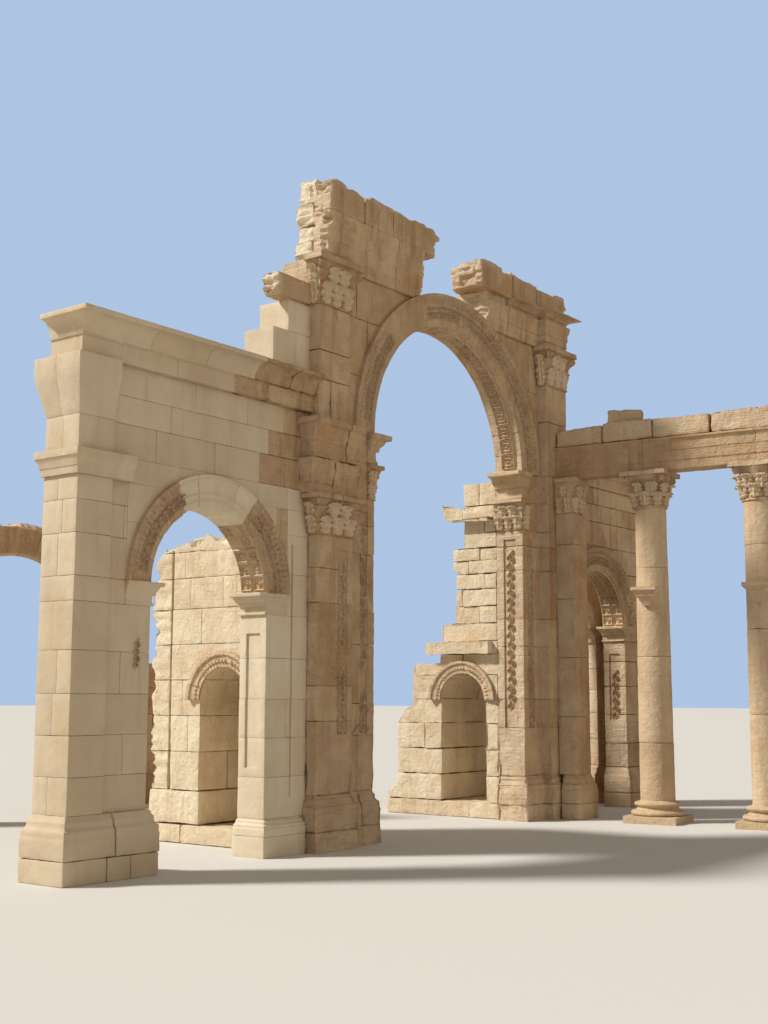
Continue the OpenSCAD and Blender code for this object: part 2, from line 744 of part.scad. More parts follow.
// Right passage wall: its broken courses step down from the impost to a low stub
module right_passage_wall() {
    x0 = centre_w;
    y1 = right_passage_len;
    y2 = right_low_len;
    z1 = low_spring + low_w / 2 + 550;
    top = right_passage_h;
    color(old_stone) difference() {
        union() {
            cross_slab(x0, x0 + passage_t) polygon([[centre_t, 0], [y2 + 350, 0],
                [y2 + 350, 600], [y2, 950], [y2 - 40, 2700], [y2 - 330, 3100], [y2 - 720, 3300],
                [y2 - 720, low_spring + 1080], [low_y + 780, low_spring + 1080],
                [low_y + 780, z1], [y1 + 480, z1 + 390], [y1 + 480, z1 + 880], [y1, z1 + 920],
                [y1 - 40, top - 1650], [y1 + 120, top - 1440], [y1 + 120, top - 900],
                [y1 - 320, top - 850], [y1 - 350, top - 100], [y1 - 300, top + 360],
                [y1 - 290, impost_z + 600], [centre_t, impost_z + 600]]);
            block(x0 - 250, x0, 1050, y1 + 940, z1, z1 + 370);
            cross_slab(x0 - 300, x0) polygon([[1000, top - 160], [y1 + 150, top - 40],
                [y1 + 290, top + 460], [1000, top + 30]]);
        }
        low_way(x0, x0 + passage_t);
        beyond_rear_face();
    }
}

module low_arch_ring() {
    r = low_w / 2;
    out = 130;
    line = [[0, 0], [0, 0.45], [0.3, 0.45], [0.32, 0.62], [0.58, 0.62], [0.72, 0.8],
        [0.78, 1], [1, 1], [1, 0]];
    rotate([90, 0, 90]) rotate_extrude(angle = 180)
        polygon([for (p = line) [r + p[0] * low_ring, -out * p[1]]]);
}

module low_arch_rings() {
    color(old_stone) for (x = [-passage_t, centre_w])
        translate([x, low_y, low_spring]) low_arch_ring();
}

module rear_right_piers() {
    color(old_stone) rear_wall_frame() {
        block(0, rear_corner_w, 0, rear_t, 0, side_impost_z);
        pier_base(0, rear_corner_w, 0, rear_t, [0, 1, 1, 0]);
        block(0, rear_corner_w - side_ring, 0, rear_t, side_impost_z, side_spring);
        side_impost(rear_corner_w - side_ring, rear_corner_w, 0, 1, rear_t);
        block(rear_x1, rear_x2, 0, rear_t, 0, stump_h);
        pier_base(rear_x1, rear_x2, 0, rear_t, [1, 1, 1, 0]);
        block(rear_x1, rear_x1 + 1100, 0, rear_t, stump_h, side_impost_z);
        side_impost(rear_x1, rear_x1 + side_ring, 1, 0, rear_t);
    }
}

module rear_right_wall() {
    color(old_stone) {
        rear_wall_frame() difference() {
            block(0, rear_x1 + side_ring, 0, rear_t, side_spring, rear_wall_top);
            arch_space(rear_axis_r, side_spring, side_w / 2 + side_ring, 0, rear_t);
        }
        corner_wedge(side_spring, rear_wall_top);
    }
}

module rear_arch_rings() {
    color(old_stone) rear_wall_frame() for (x = [rear_axis_r, rear_axis_l])
        archivolt(x, side_spring, side_w, side_ring, rear_t);
}

module rear_left_piers() {
    color(old_stone) rear_wall_frame() {
        block(rear_x3, rear_x4, 0, rear_t, 0, stump_h);
        pier_base(rear_x3, rear_x4, 0, rear_t, [1, 1, 1, 0]);
        block(rear_x4 - 1100, rear_x4, 0, rear_t, stump_h, side_impost_z);
        side_impost(rear_x4 - side_ring, rear_x4, 0, 1, rear_t);
        block(rear_x5, rear_x6, 0, rear_t, 0, side_impost_z);
        pier_base(rear_x5, rear_x6, 0, rear_t, [1, 1, 1, 1]);
        block(rear_x5 + side_ring, rear_x6, 0, rear_t, side_impost_z, side_spring);
        side_impost(rear_x5, rear_x5 + side_ring, 1, 0, rear_t);
    }
}

module rear_left_wall() {
    color(old_stone) rear_wall_frame() difference() {
        block(rear_x4 - side_ring, rear_x6, 0, rear_t, side_spring, rear_wall_top);
        arch_space(rear_axis_l, side_spring, side_w / 2 + side_ring, 0, rear_t);
    }
}

// Short pier that carries the beam's end against the right pier's pilaster
module colonnade_pilaster() {
    x0 = colonnade_at - beam_w / 2;
    x1 = colonnade_at + beam_w / 2;
    y0 = -pilaster_out - respond_out;
    color(old_stone) {
        block(x0, x1, y0, -pilaster_out, base_top, column_h - capital_h);
        pier_base(x0, x1, y0, -pilaster_out - base_out, [1, 1, 1, 0]);
        moulded(x0, x1, y0 + 100, -pilaster_out, column_h - capital_h,
            sized(leaf_line, 200, capital_h), [0.4, 1, 1, 0]);
    }
}

// Space in front of the pilaster's face, where the beam can lie
module before_pilaster() {
    block(colonnade_at - 3000, colonnade_at + 3000, -beam_end - 2000, -pilaster_out, 0, 20000);
}

module colonnade_architrave() {
    half = beam_w / 2;
    last = len(beam_line) - 1;
    outline = concat(
        [for (i = [0:last]) [half * beam_line[i][0], column_h + beam_h * beam_line[i][1]]],
        [for (i = [last:-1:0]) [-half * beam_line[i][0], column_h + beam_h * beam_line[i][1]]]);
    color(old_stone) intersection() {
        colonnade_frame() rotate([90, 0, 0]) translate([0, 0, -over])
            linear_extrude(height = beam_end + over) polygon(outline);
        before_pilaster();
    }
}

module colonnade_frieze() {
    top = column_h + beam_h;
    color(old_stone) intersection() {
        colonnade_frame() cross_slab(-beam_w / 2, beam_w / 2)
            polygon([[-beam_end, top], [over, top], [over, top + 0.8 * beam_frieze_h],
                [-1200, top + 0.9 * beam_frieze_h], [-2300, top + beam_frieze_h],
                [-4200, top + 0.94 * beam_frieze_h], [-beam_end, top + beam_frieze_h]]);
        before_pilaster();
    }
}

// Shaft with entasis: the radius falls away faster towards the top
module shaft_form() {
    h = column_h - capital_h - column_base_h;
    shrink = (shaft_d - shaft_top_d) / 2;
    steps = 8;
    side = [for (i = [0:steps]) [shaft_d / 2 - shrink * pow(i / steps, 1.6), h * i / steps]];
    translate([0, 0, column_base_h]) rotate_extrude()
        polygon(concat([[0, 0]], side, [[0, h]]));
}

// Bracket for a statue on the side of each shaft
module bracket_form() {
    out = shaft_d / 2 + 230;
    half_w = 250;
    moulded(-out, 0, -half_w, half_w, bracket_z, sized(bracket_line, 110, 520), [1, 0, 1, 1]);
}

module column_shafts() {
    color(pale_stone) at_columns() {
        shaft_form();
        bracket_form();
    }
}

module column_bases() {
    r = shaft_d / 2;
    plinth_h = 200;
    h = column_base_h - plinth_h;
    line = [[207, 0], [261, 0.09], [270, 0.2], [234, 0.32], [135, 0.36], [99, 0.44], [81, 0.54],
        [126, 0.62], [162, 0.68], [171, 0.78], [126, 0.88], [45, 0.9], [0, 1]];
    color(pale_stone) at_columns() {
        translate([0, 0, plinth_h]) rotate_extrude()
            polygon(concat([[0, 0]], [for (p = line) [r + p[0], h * p[1]]], [[0, h]]));
        block(-r - 280, r + 280, -r - 280, r + 280, 0, plinth_h);
    }
}

// Row of eight leaves round a capital's bell, each curling out at its tip
module leaf_row(r, z, h, curl, turn) {
    leaf = 36;
    side = [[-0.5, 0], [0.2, 0], [0.22, 0.45], [0.45, 0.74], [0.85, 0.88], [1, 0.97], [0.7, 1],
        [-0.5, 0.92]];
    for (i = [0:7]) rotate(turn + 45 * i - leaf / 2)
        rotate_extrude(angle = leaf) polygon([for (p = side) [r + curl * p[0], z + h * p[1]]]);
}

module column_capitals() {
    r = shaft_top_d / 2;
    abacus_h = 130;
    h = capital_h - abacus_h;
    half = r + 240;
    curl = 120;
    line = [[40, 0], [40, 0.06], [0, 0.08], [10, 0.4], [30, 0.62], [70, 0.8], [120, 0.9],
        [150, 0.96], [150, 1]];
    color(pale_stone) at_columns() translate([0, 0, column_h - capital_h]) {
        rotate_extrude() polygon(concat([[0, 0]], [for (p = line) [r + p[0], h * p[1]]], [[0, h]]));
        leaf_row(r, 0.1 * h, 0.34 * h, curl, 0);
        leaf_row(r + curl / 6, 0.36 * h, 0.36 * h, curl, 22.5);
        for (a = [45:90:315]) rotate(a) corner_scroll(half + curl, h);
        translate([0, 0, h]) linear_extrude(height = abacus_h) difference() {
            square(2 * half, center = true);
            for (a = [0:90:270]) rotate(a) translate([half + 1100, 0]) circle(r = 1170);
        }
    }
}

end_pier_base();
end_pier_shaft();
end_pier_capital();
end_pier_frieze_block();
left_arch_imposts();
left_arch_springers();
left_arch_crown();
left_bay_wall();
left_bay_cornice();
left_jamb_pier();
left_stepped_stones();
left_pier();
left_pier_pilaster();
left_order_capital();
left_order_blocks();
centre_imposts();
centre_arch_ring();
left_spandrel();
right_spandrel();
upper_pilasters();
upper_capitals();
left_entablature();
left_attic();
left_backing_stones();
right_pier();
right_entablature();
right_attic();
right_arch_ring();
right_arch_imposts();
right_bay_wall();
right_end_pier();
left_passage_wall();
right_passage_wall();
low_arch_rings();
rear_right_piers();
rear_right_wall();
rear_arch_rings();
rear_left_piers();
rear_left_wall();
colonnade_pilaster();
colonnade_architrave();
colonnade_frieze();
column_shafts();
column_bases();
column_capitals();
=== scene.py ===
import math
import random
from functools import partial
import bpy
import bmesh
from mathutils import Matrix, Vector, noise

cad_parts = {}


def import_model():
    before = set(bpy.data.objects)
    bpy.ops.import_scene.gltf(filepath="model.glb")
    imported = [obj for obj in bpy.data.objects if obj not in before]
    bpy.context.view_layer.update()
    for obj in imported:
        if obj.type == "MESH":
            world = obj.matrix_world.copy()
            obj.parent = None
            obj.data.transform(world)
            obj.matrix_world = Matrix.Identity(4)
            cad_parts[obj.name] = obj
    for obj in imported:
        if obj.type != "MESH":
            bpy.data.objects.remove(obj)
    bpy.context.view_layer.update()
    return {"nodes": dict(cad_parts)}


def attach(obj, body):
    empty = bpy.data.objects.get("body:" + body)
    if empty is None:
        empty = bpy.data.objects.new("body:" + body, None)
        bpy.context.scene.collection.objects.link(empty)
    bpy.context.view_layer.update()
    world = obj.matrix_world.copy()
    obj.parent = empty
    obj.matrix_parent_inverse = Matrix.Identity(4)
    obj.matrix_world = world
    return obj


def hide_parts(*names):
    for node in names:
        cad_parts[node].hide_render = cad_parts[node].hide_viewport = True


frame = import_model()
scene = bpy.context.scene

# The two facades, the passage walls and the colonnade are all cut from one golden
# limestone. New stone from the repair is smooth and even, old stone is pitted, brown
# where rain runs down, and pale where it broke.


def new_group(name, values):
    """Empty shader group with float inputs of these default values."""
    group = bpy.data.node_groups.new(name, "ShaderNodeTree")
    for label, value in values.items():
        socket = group.interface.new_socket(label, in_out="INPUT",
                                            socket_type="NodeSocketFloat")
        socket.default_value = value
    return group


def wire(tree, kind, inputs=None, **settings):
    """New node with its settings; an input is a value or another node's output."""
    node = tree.nodes.new(kind)
    for key, value in settings.items():
        setattr(node, key, value)
    for key, value in (inputs or {}).items():
        if isinstance(value, bpy.types.NodeSocket):
            tree.links.new(value, node.inputs[key])
        else:
            node.inputs[key].default_value = value
    return node


def blur_noise(tree, where, scale, detail=6, rough=0.6):
    return wire(tree, "ShaderNodeTexNoise",
                {"Vector": where, "Scale": scale, "Detail": detail, "Roughness": rough}
                ).outputs["Fac"]


def spread(tree, value, low, high, out_low=0.0, out_high=1.0):
    return wire(tree, "ShaderNodeMapRange", {
        "Value": value, "From Min": low, "From Max": high, "To Min": out_low,
        "To Max": out_high}, interpolation_type="SMOOTHSTEP").outputs["Result"]


def compute(tree, operation, a, b=0.0, clamp=False):
    return wire(tree, "ShaderNodeMath", {0: a, 1: b}, operation=operation,
                use_clamp=clamp).outputs[0]


# Weather as one shader group: blotches, rain streaks, pores and bedding lines
weather = new_group("limestone_weather", {"Blotch size": 1.0, "Pores": 0.5,
                                          "Streaks": 0.5, "Bedding": 0.3})
for label in ("Blotch", "Streak", "Pore", "Height", "Speckle", "Iron"):
    weather.interface.new_socket(label, in_out="OUTPUT", socket_type="NodeSocketFloat")
given = weather.nodes.new("NodeGroupInput").outputs
sent = weather.nodes.new("NodeGroupOutput").inputs
place = weather.nodes.new("ShaderNodeTexCoord").outputs["Object"]
calc, clouds = partial(compute, weather), partial(blur_noise, weather)
blotch = clouds(place, 0.9, 8, 0.62)
weather.links.new(given["Blotch size"], blotch.node.inputs["Scale"])
tall = wire(weather, "ShaderNodeMapping", {"Vector": place, "Scale": (2.6, 2.6, 0.22)})
streak = clouds(tall.outputs[0], 1.6, 7, 0.66)
flat = wire(weather, "ShaderNodeMapping", {"Vector": place, "Scale": (0.7, 0.7, 9.0)})
bed = clouds(flat.outputs[0], 2.2, 5, 0.6)
fine = clouds(place, 38.0, 4, 0.7)
coarse = clouds(place, 9.0, 6, 0.65)
cells = wire(weather, "ShaderNodeTexVoronoi", {"Vector": place, "Scale": 24.0,
                                               "Randomness": 1.0})
hole = spread(weather, cells.outputs["Distance"], 0.06, 0.26, 1.0, 0.0)
patch = spread(weather, clouds(place, 2.3, 4, 0.6), 0.46, 0.66)
pore = calc("MULTIPLY", calc("MULTIPLY", hole, patch), given["Pores"])
streak_on = calc("MULTIPLY", spread(weather, streak, 0.48, 0.74), given["Streaks"])
worn_away = clouds(place, 3.4, 5, 0.62)
relief = calc("ADD", calc("MULTIPLY", coarse, 0.6), calc("MULTIPLY", fine, 0.24))
relief = calc("ADD", relief, calc("MULTIPLY", worn_away, 0.9))
relief = calc("ADD", relief, calc("MULTIPLY", bed, given["Bedding"]))
relief = calc("SUBTRACT", relief, calc("MULTIPLY", pore, 0.9))
iron = spread(weather, clouds(place, 1.3, 7, 0.68), 0.5, 0.72)
for label, value in (("Blotch", spread(weather, blotch, 0.34, 0.68)),
                     ("Streak", streak_on), ("Pore", pore), ("Height", relief),
                     ("Iron", calc("MULTIPLY", iron, given["Streaks"])),
                     ("Speckle", spread(weather, fine, 0.3, 0.7))):
    weather.links.new(value, sent[label])


def limestone(name, slot, light, deep, stain, worn, blotch_size=0.9, pores=0.5,
              streaks=0.5, bedding=0.25, bump=0.03, rough=0.86):
    """Limestone finish: light and deep are its two tones, stain the colour of rain streaks
    and worn that of rubbed edges, which also serves as painted light. Stone tone, wear and
    painted light come from the mesh."""
    made = bpy.data.materials.new(name)
    made.use_nodes = True
    tree = made.node_tree
    skin = tree.nodes["Principled BSDF"]
    marks = wire(tree, "ShaderNodeGroup", {
        "Blotch size": blotch_size, "Pores": pores, "Streaks": streaks,
        "Bedding": bedding}, node_tree=weather).outputs
    calc = partial(compute, tree)
    tone = wire(tree, "ShaderNodeAttribute", attribute_name="tone").outputs["Fac"]
    rub_and_light = wire(tree, "ShaderNodeAttribute", attribute_name="rub_and_light").outputs["Fac"]
    mixed = calc("ADD", calc("MULTIPLY", marks["Blotch"], 0.62),
                 calc("MULTIPLY", tone, 0.55))
    mixed = calc("SUBTRACT", mixed, 0.1, clamp=True)

    def blend(a, b, share, kind="MIX"):
        node = wire(tree, "ShaderNodeMix", {"Factor": share}, data_type="RGBA",
                    blend_type=kind)
        for end, value in (("A", a), ("B", b)):
            socket = [s for s in node.inputs if s.name == end and s.type == "RGBA"][0]
            if isinstance(value, bpy.types.NodeSocket):
                tree.links.new(value, socket)
            else:
                socket.default_value = (*value, 1.0)
        return [s for s in node.outputs if s.type == "RGBA"][0]

    colour = blend(light, deep, mixed)
    iron_brown = tuple(c * share for c, share in zip(deep, (1.08, 0.88, 0.62)))
    colour = blend(colour, iron_brown, marks["Iron"])
    colour = blend(colour, stain, marks["Streak"])
    # Rubbed edges, breaks and worn feet, and also painted light: old stone facing -x and
    # the tops of the carvings
    colour = blend(colour, worn, calc("MULTIPLY", rub_and_light, 0.55, clamp=True))
    dark = calc("ADD", calc("MULTIPLY", marks["Pore"], 0.5),
                calc("MULTIPLY", marks["Speckle"], 0.1))
    colour = blend(colour, tuple(c * 0.45 for c in deep), dark)
    tree.links.new(colour, skin.inputs["Base Color"])
    skin.inputs["Roughness"].default_value = rough
    skin.inputs["Specular IOR Level"].default_value = 0.25
    lift = wire(tree, "ShaderNodeBump", {"Height": marks["Height"], "Distance": bump,
                                         "Strength": 1.0})
    tree.links.new(lift.outputs[0], skin.inputs["Normal"])
    return made


weathered = {"stain": (0.26, 0.15, 0.08), "worn": (0.76, 0.62, 0.44), "pores": 0.9,
             "streaks": 0.65, "bedding": 0.45, "bump": 0.08}
old_stone = limestone("old_golden_limestone", "weathered_limestone",
                      (0.64, 0.465, 0.285), (0.43, 0.265, 0.135), **weathered)
new_stone = limestone(
    "repair_limestone", "restored_limestone", (0.61, 0.50, 0.35), (0.50, 0.385, 0.25),
    (0.40, 0.30, 0.185), (0.69, 0.59, 0.44), blotch_size=0.6, pores=0.15, streaks=0.35,
    bedding=0.12, bump=0.014, rough=0.8)
pale_stone = limestone(
    "pale_limestone", "pale_limestone", (0.70, 0.60, 0.44), (0.58, 0.47, 0.32),
    (0.44, 0.34, 0.22), (0.77, 0.68, 0.52), blotch_size=0.7, pores=0.3, streaks=0.25,
    bedding=0.15, bump=0.02, rough=0.82)
# Paler old stone for the passage walls and the rough backing stones. On the passage walls,
# which face the key lamp, the paleness is partly sand wear and partly painted sunlight.
paler_old_stone = limestone(
    "paler_old_limestone", "weathered_limestone", (0.78, 0.66, 0.47), (0.62, 0.48, 0.31),
    (0.40, 0.28, 0.165), (0.78, 0.68, 0.51), blotch_size=1.3, pores=0.8, streaks=0.3,
    bedding=0.16, bump=0.06)


# The free-standing left end pier is rebuilt of large smooth blocks. Each block is a
# separate stone with a fine open joint round it and slightly rubbed arrises, laid on
# a moulded base course and a rough footing.


def cad_copy(node):
    """The node's solid with its loose triangles merged into whole faces. A part that
    was sawn off before stays as it is."""
    if not isinstance(node, str):
        return node
    bm = bmesh.new()
    bm.from_mesh(frame["nodes"][node].data)
    bmesh.ops.remove_doubles(bm, verts=bm.verts, dist=0.0005)
    bmesh.ops.dissolve_limit(bm, angle_limit=0.01, verts=bm.verts, edges=bm.edges)
    return bm


def keep_side(bm, point, normal):
    """The part of bm behind the plane, closed where it was cut, or None."""
    part = bm.copy()
    bmesh.ops.bisect_plane(part, geom=part.verts[:] + part.edges[:] + part.faces[:],
                           dist=1e-5, plane_co=point, plane_no=normal, clear_outer=True)
    if len(part.faces) < 4:
        part.free()
        return None
    rim = [e for e in part.edges if e.is_boundary]
    if rim:
        bmesh.ops.holes_fill(part, edges=rim, sides=0)
    return part


def saw(parts, point, normal, joint=0.006):
    """Cuts every part at a plane, with an open joint of that width."""
    point, normal = Vector(point), Vector(normal).normalized()
    thinnest = 0.03
    made = []
    for bm in parts:
        far = [(v.co - point).dot(normal) for v in bm.verts]
        if max(far) < thinnest or min(far) > -thinnest:
            made.append(bm)
            continue
        half = normal * (joint / 2)
        made += [p for p in (keep_side(bm, point - half, normal),
                             keep_side(bm, point + half, -normal)) if p]
        bm.free()
    return made


def along(x):
    """Plane across the front facade at x."""
    return (x, 0, 0), (1, 0, 0)


def across(y):
    return (0, y, 0), (0, 1, 0)


def level(z):
    return (0, 0, z), (0, 0, 1)


def courses(node, beds, joints, joint=0.004, plane=along):
    """Saws a node into courses at the beds and each course at its own upright joints.
    joints is one list for each course, from the bottom up; the lists repeat. A number
    in a list becomes a plane by the function plane."""
    rows = [cad_copy(node)]
    beds = sorted(beds)
    for z in beds:
        rows = saw(rows, *level(z), joint)
    stones = []
    for row in rows:
        middle_z = middle(row).z
        row_number = sum(1 for z in beds if z < middle_z)
        parts = [row]
        for cut in (joints[row_number % len(joints)] if joints else []):
            parts = saw(parts, *(cut if isinstance(cut, tuple) else plane(cut)), joint)
        stones += parts
    return stones


def middle(bm):
    """Mean of a stone's corners."""
    return sum((v.co for v in bm.verts), Vector()) / len(bm.verts)


def split(stones, axis, at):
    """The stones whose middle lies up to there on that axis, and those beyond it."""
    near = [s for s in stones if getattr(middle(s), axis) <= at]
    return near, [s for s in stones if s not in near]


def crack(stones, share, rng):
    """Saws that share of the stones in two along a slanted crack."""
    parts = []
    for bm in stones:
        if rng.random() < share:
            slope = (rng.uniform(-1, 1), rng.uniform(-0.3, 0.3), rng.uniform(-0.6, 0.6))
            parts += saw([bm], middle(bm), slope)
        else:
            parts.append(bm)
    return parts


def round_arrises(bm, edge):
    """Bevels the sharp edges and marks the points of the bevels in a layer."""
    bmesh.ops.recalc_face_normals(bm, faces=bm.faces)
    sharp = [e for e in bm.edges if len(e.link_faces) == 2
             and e.calc_face_angle(0) > 0.5 and e.calc_length() > 1.5 * edge]
    points = set()
    if sharp and edge:
        made = bmesh.ops.bevel(bm, geom=sharp, offset=edge, offset_type="OFFSET",
                               segments=2, profile=0.6, affect="EDGES",
                               clamp_overlap=True)
        points = {v for f in made["faces"] for v in f.verts}
    soft = bm.verts.layers.float.new("soft")
    for v in points:
        if v.is_valid:
            v[soft] = 1.0
    return soft


def divide(bm, cell):
    """Cuts the faces into triangles until no edge is longer than cell."""
    bmesh.ops.triangulate(bm, faces=[f for f in bm.faces if len(f.verts) > 4])
    for halvings in range(4, -1, -1):
        longest = max(cell, cell * 2 ** halvings * 0.7)
        long_edges = [e for e in bm.edges if e.calc_length() > longest]
        if long_edges:
            bmesh.ops.subdivide_edges(bm, edges=long_edges, cuts=1, use_grid_fill=False)
            bmesh.ops.triangulate(bm, faces=[f for f in bm.faces if len(f.verts) > 3])
    bm.normal_update()


def break_off(step, p, broken, bite, small):
    """Adds to step how far a point near a broken end lies back. Layers flake off and
    whole lumps fall out. Returns how fresh the break is there."""
    fresh = 0.0
    for point, inward, depth in broken:
        inward = Vector(inward)
        deep = (p - Vector(point)).dot(inward)
        if deep < depth:
            lump = noise.cell(Vector((p.x * 2.1, p.y * 2.1, p.z * 3.4)))
            flake = noise.noise(Vector((p.x * 2, p.y * 2, p.z * 11.0)))
            bitten = 0.4 + 0.5 * flake + 0.15 * small + 0.4 * bite + 0.45 * lump
            step += inward * ((depth - deep) * 0.75 * min(1.2, max(0.0, bitten)))
            fresh = max(fresh, 1 - deep / depth)
    return fresh


def in_scene(name, data):
    """New object of that mesh, lamp or camera, linked to the scene."""
    made = bpy.data.objects.new(name, data)
    scene.collection.objects.link(made)
    return made


def applied(piece):
    """The piece's mesh with its modifiers applied. They are removed from it."""
    graph = bpy.context.evaluated_depsgraph_get()
    mesh = bpy.data.meshes.new_from_object(
        piece.evaluated_get(graph), preserve_all_data_layers=True, depsgraph=graph)
    piece.modifiers.clear()
    return mesh


def wear(stones, name, finish, seed, nodes, slot=None, edge=0.014, chip=0.03,
         rough=0.004, cell=0.16, shift=0.004, rubble=0.0, strata=0.0, foot=0.0,
         broken=(), cracked=0.0):
    """Rubs and chips the arrises of every stone, roughens its faces and joins all of
    them to one piece that stands for the CAD nodes. strata is how deep its layers are
    eaten out, foot the height up to which sand wore it round. broken lists the planes
    where masonry broke off: a point, the way in and the depth of the rough part. cracked
    is the share of stones with a crack through them."""
    rng = random.Random(seed)
    whole = bmesh.new()
    # One layer holds the paleness of worn edges, breaks and feet and the painted sunlight
    # on old stone facing -x
    tone = whole.verts.layers.float.new("tone")
    rub_and_light = whole.verts.layers.float.new("rub_and_light")
    # A scale in the noise calls is in waves per metre
    for bm in crack(stones, cracked, rng):
        soft = round_arrises(bm, edge)
        divide(bm, cell)
        own_tone = rng.random()
        move = Vector([rng.uniform(-shift, shift) for _ in range(3)])
        move.z *= 0.2
        worn = {}
        for v in bm.verts:
            p = v.co
            at_edge = v[soft]
            grain = noise.noise(p * 5.0) + 0.5 * noise.noise(p * 13.0)
            bite = noise.noise(p * 2.2 + Vector((7.0, seed, 0.0)))
            small = noise.noise(p * 8.0 + Vector((0.0, 3.0, seed)))
            layer = noise.noise(Vector((p.x * 0.9, p.y * 0.9 + seed, p.z * 6.5)))
            out = rough * grain
            if at_edge > 0.5:
                out -= chip * max(0.0, bite + 0.25 * small - 0.12) * 1.6
            if rubble:
                out -= rubble * (0.5 + 0.5 * bite + 0.35 * small)
            step = v.normal * out + move
            # Layers and feet wear sideways only, which keeps the bed joints closed
            sideways = Vector((v.normal.x, v.normal.y, 0.0))
            low = 0.0
            if strata:
                step -= sideways * strata * max(0.0, 0.25 + layer + 0.3 * small)
            if p.z < foot:
                step -= sideways * (0.09 * (1 - p.z / foot) * max(0.0, 0.6 + bite))
                low = 0.9 - 0.8 * p.z / foot
            fresh = break_off(step, p, broken, bite, small)
            # Old stone is painted paler on the faces turned towards -x, which the key lamp
            # lights: painted sunlight on that side
            lit_side_paling = max(0.0, -v.normal.x - 0.6) * 3.2 if finish is old_stone else 0.0
            pale_wear_and_light = max(at_edge * (0.35 + 0.65 * noise.noise(p * 3.0)), fresh,
                       lit_side_paling * (0.7 + 0.5 * bite), low * (0.8 + 0.6 * bite))
            worn[v] = step, pale_wear_and_light
        first = {}
        for v, (step, pale_wear_and_light) in worn.items():
            new = whole.verts.new(v.co + step)
            new.co.z = max(0.0, new.co.z)
            new[tone] = own_tone
            new[rub_and_light] = pale_wear_and_light
            first[v] = new
        for f in bm.faces:
            try:
                whole.faces.new([first[v] for v in f.verts])
            except ValueError:
                pass
        bm.free()
    mesh = bpy.data.meshes.new(name)
    whole.to_mesh(mesh)
    whole.free()
    mesh.materials.append(finish)
    piece = in_scene(name, mesh)
    # Flat parts need fewer triangles than the arrises
    kept_share = 0.42
    piece.modifiers.new("thinner", "DECIMATE").ratio = kept_share
    mesh = piece.data = applied(piece)
    for vertex in mesh.vertices:
        vertex.co.z = max(0.0, vertex.co.z)
    for polygon in mesh.polygons:
        polygon.use_smooth = True
    mesh.set_sharp_from_angle(angle=math.radians(38))
    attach(piece, "root")
    if nodes:
        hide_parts(*nodes)
    return piece


def laid(node, beds, joints, name, finish, seed, joint=0.004, plane=along, **own):
    """Saws one node into courses and wears its stones to one piece."""
    wear(courses(node, beds, joints, joint, plane), name, finish, seed, [node], **own)


laid("end_pier_shaft", [1.95, 2.72, 3.5, 4.32, 5.25, 5.73, 6.55, 7.2],
     [[-8.52, across(0.46)], [-7.98], [-8.52, across(0.4)], [-8.1, across(0.3)]],
     "end_pier_blocks", new_stone, 11)
laid("end_pier_base", [0.45], [[-8.5, -7.9], [-8.3]], "end_pier_footing", new_stone, 12,
     joint=0.012, edge=0.03, chip=0.12, rough=0.012, shift=0.01)
laid("end_pier_capital", [], [[-8.44]], "end_pier_capital_band", new_stone, 13,
     edge=0.008)
laid("end_pier_frieze_block", [8.85], [[across(0.36)], [across(0.4)]],
     "end_pier_frieze_stone", new_stone, 14)

# The wall over the left arch is rebuilt of smooth slabs too. Only the stones beside
# the middle pier are old; its cornice has one long plain profile.
wall = courses("left_bay_wall", [6.9, 7.68, 8.17, 8.85, 9.42],
               [[-7.72], [-8.3, -3.6], [-6.6, -4.3], [-7.3, -5.6, -4.2, -3.35],
                [-6.9, -5.1, -3.9], [-7.6, -6.2, -4.6, -3.4]])
new, old = split(wall, "x", -3.95)
wear(new, "left_bay_blocks", new_stone, 15, ["left_bay_wall"])
wear(old, "left_bay_old_blocks", old_stone, 16, [], edge=0.035, chip=0.16, rough=0.01,
     cell=0.11, cracked=0.2)
cornice = courses("left_bay_cornice", [10.42],
                  [[-8.3, -6.9, -5.2, -4.1], [-7.7, -6.1, -4.6, -3.4]])
new, old = split(cornice, "x", -4.75)
wear(new, "left_bay_cornice_blocks", new_stone, 17, ["left_bay_cornice"], edge=0.012,
     chip=0.05)
wear(old, "left_bay_old_cornice", old_stone, 18, [], edge=0.05, chip=0.22, rough=0.02,
     cell=0.1, strata=0.06, rubble=0.02)

# Side and middle arches are rings of voussoirs with radial joints. The old ones are
# worn by sand, the four at the left arch's crown are new and plain.


def voussoirs(node, centre, angles, turn=None, joint=0.006):
    """Saws an arch ring, or a part of one, along the rays of these angles, measured
    from its +x side."""
    parts = [cad_copy(node)]
    for a in angles:
        ray = Vector((-math.sin(math.radians(a)), 0, math.cos(math.radians(a))))
        if turn:
            ray = turn @ ray
        parts = saw(parts, centre, ray, joint)
    return parts


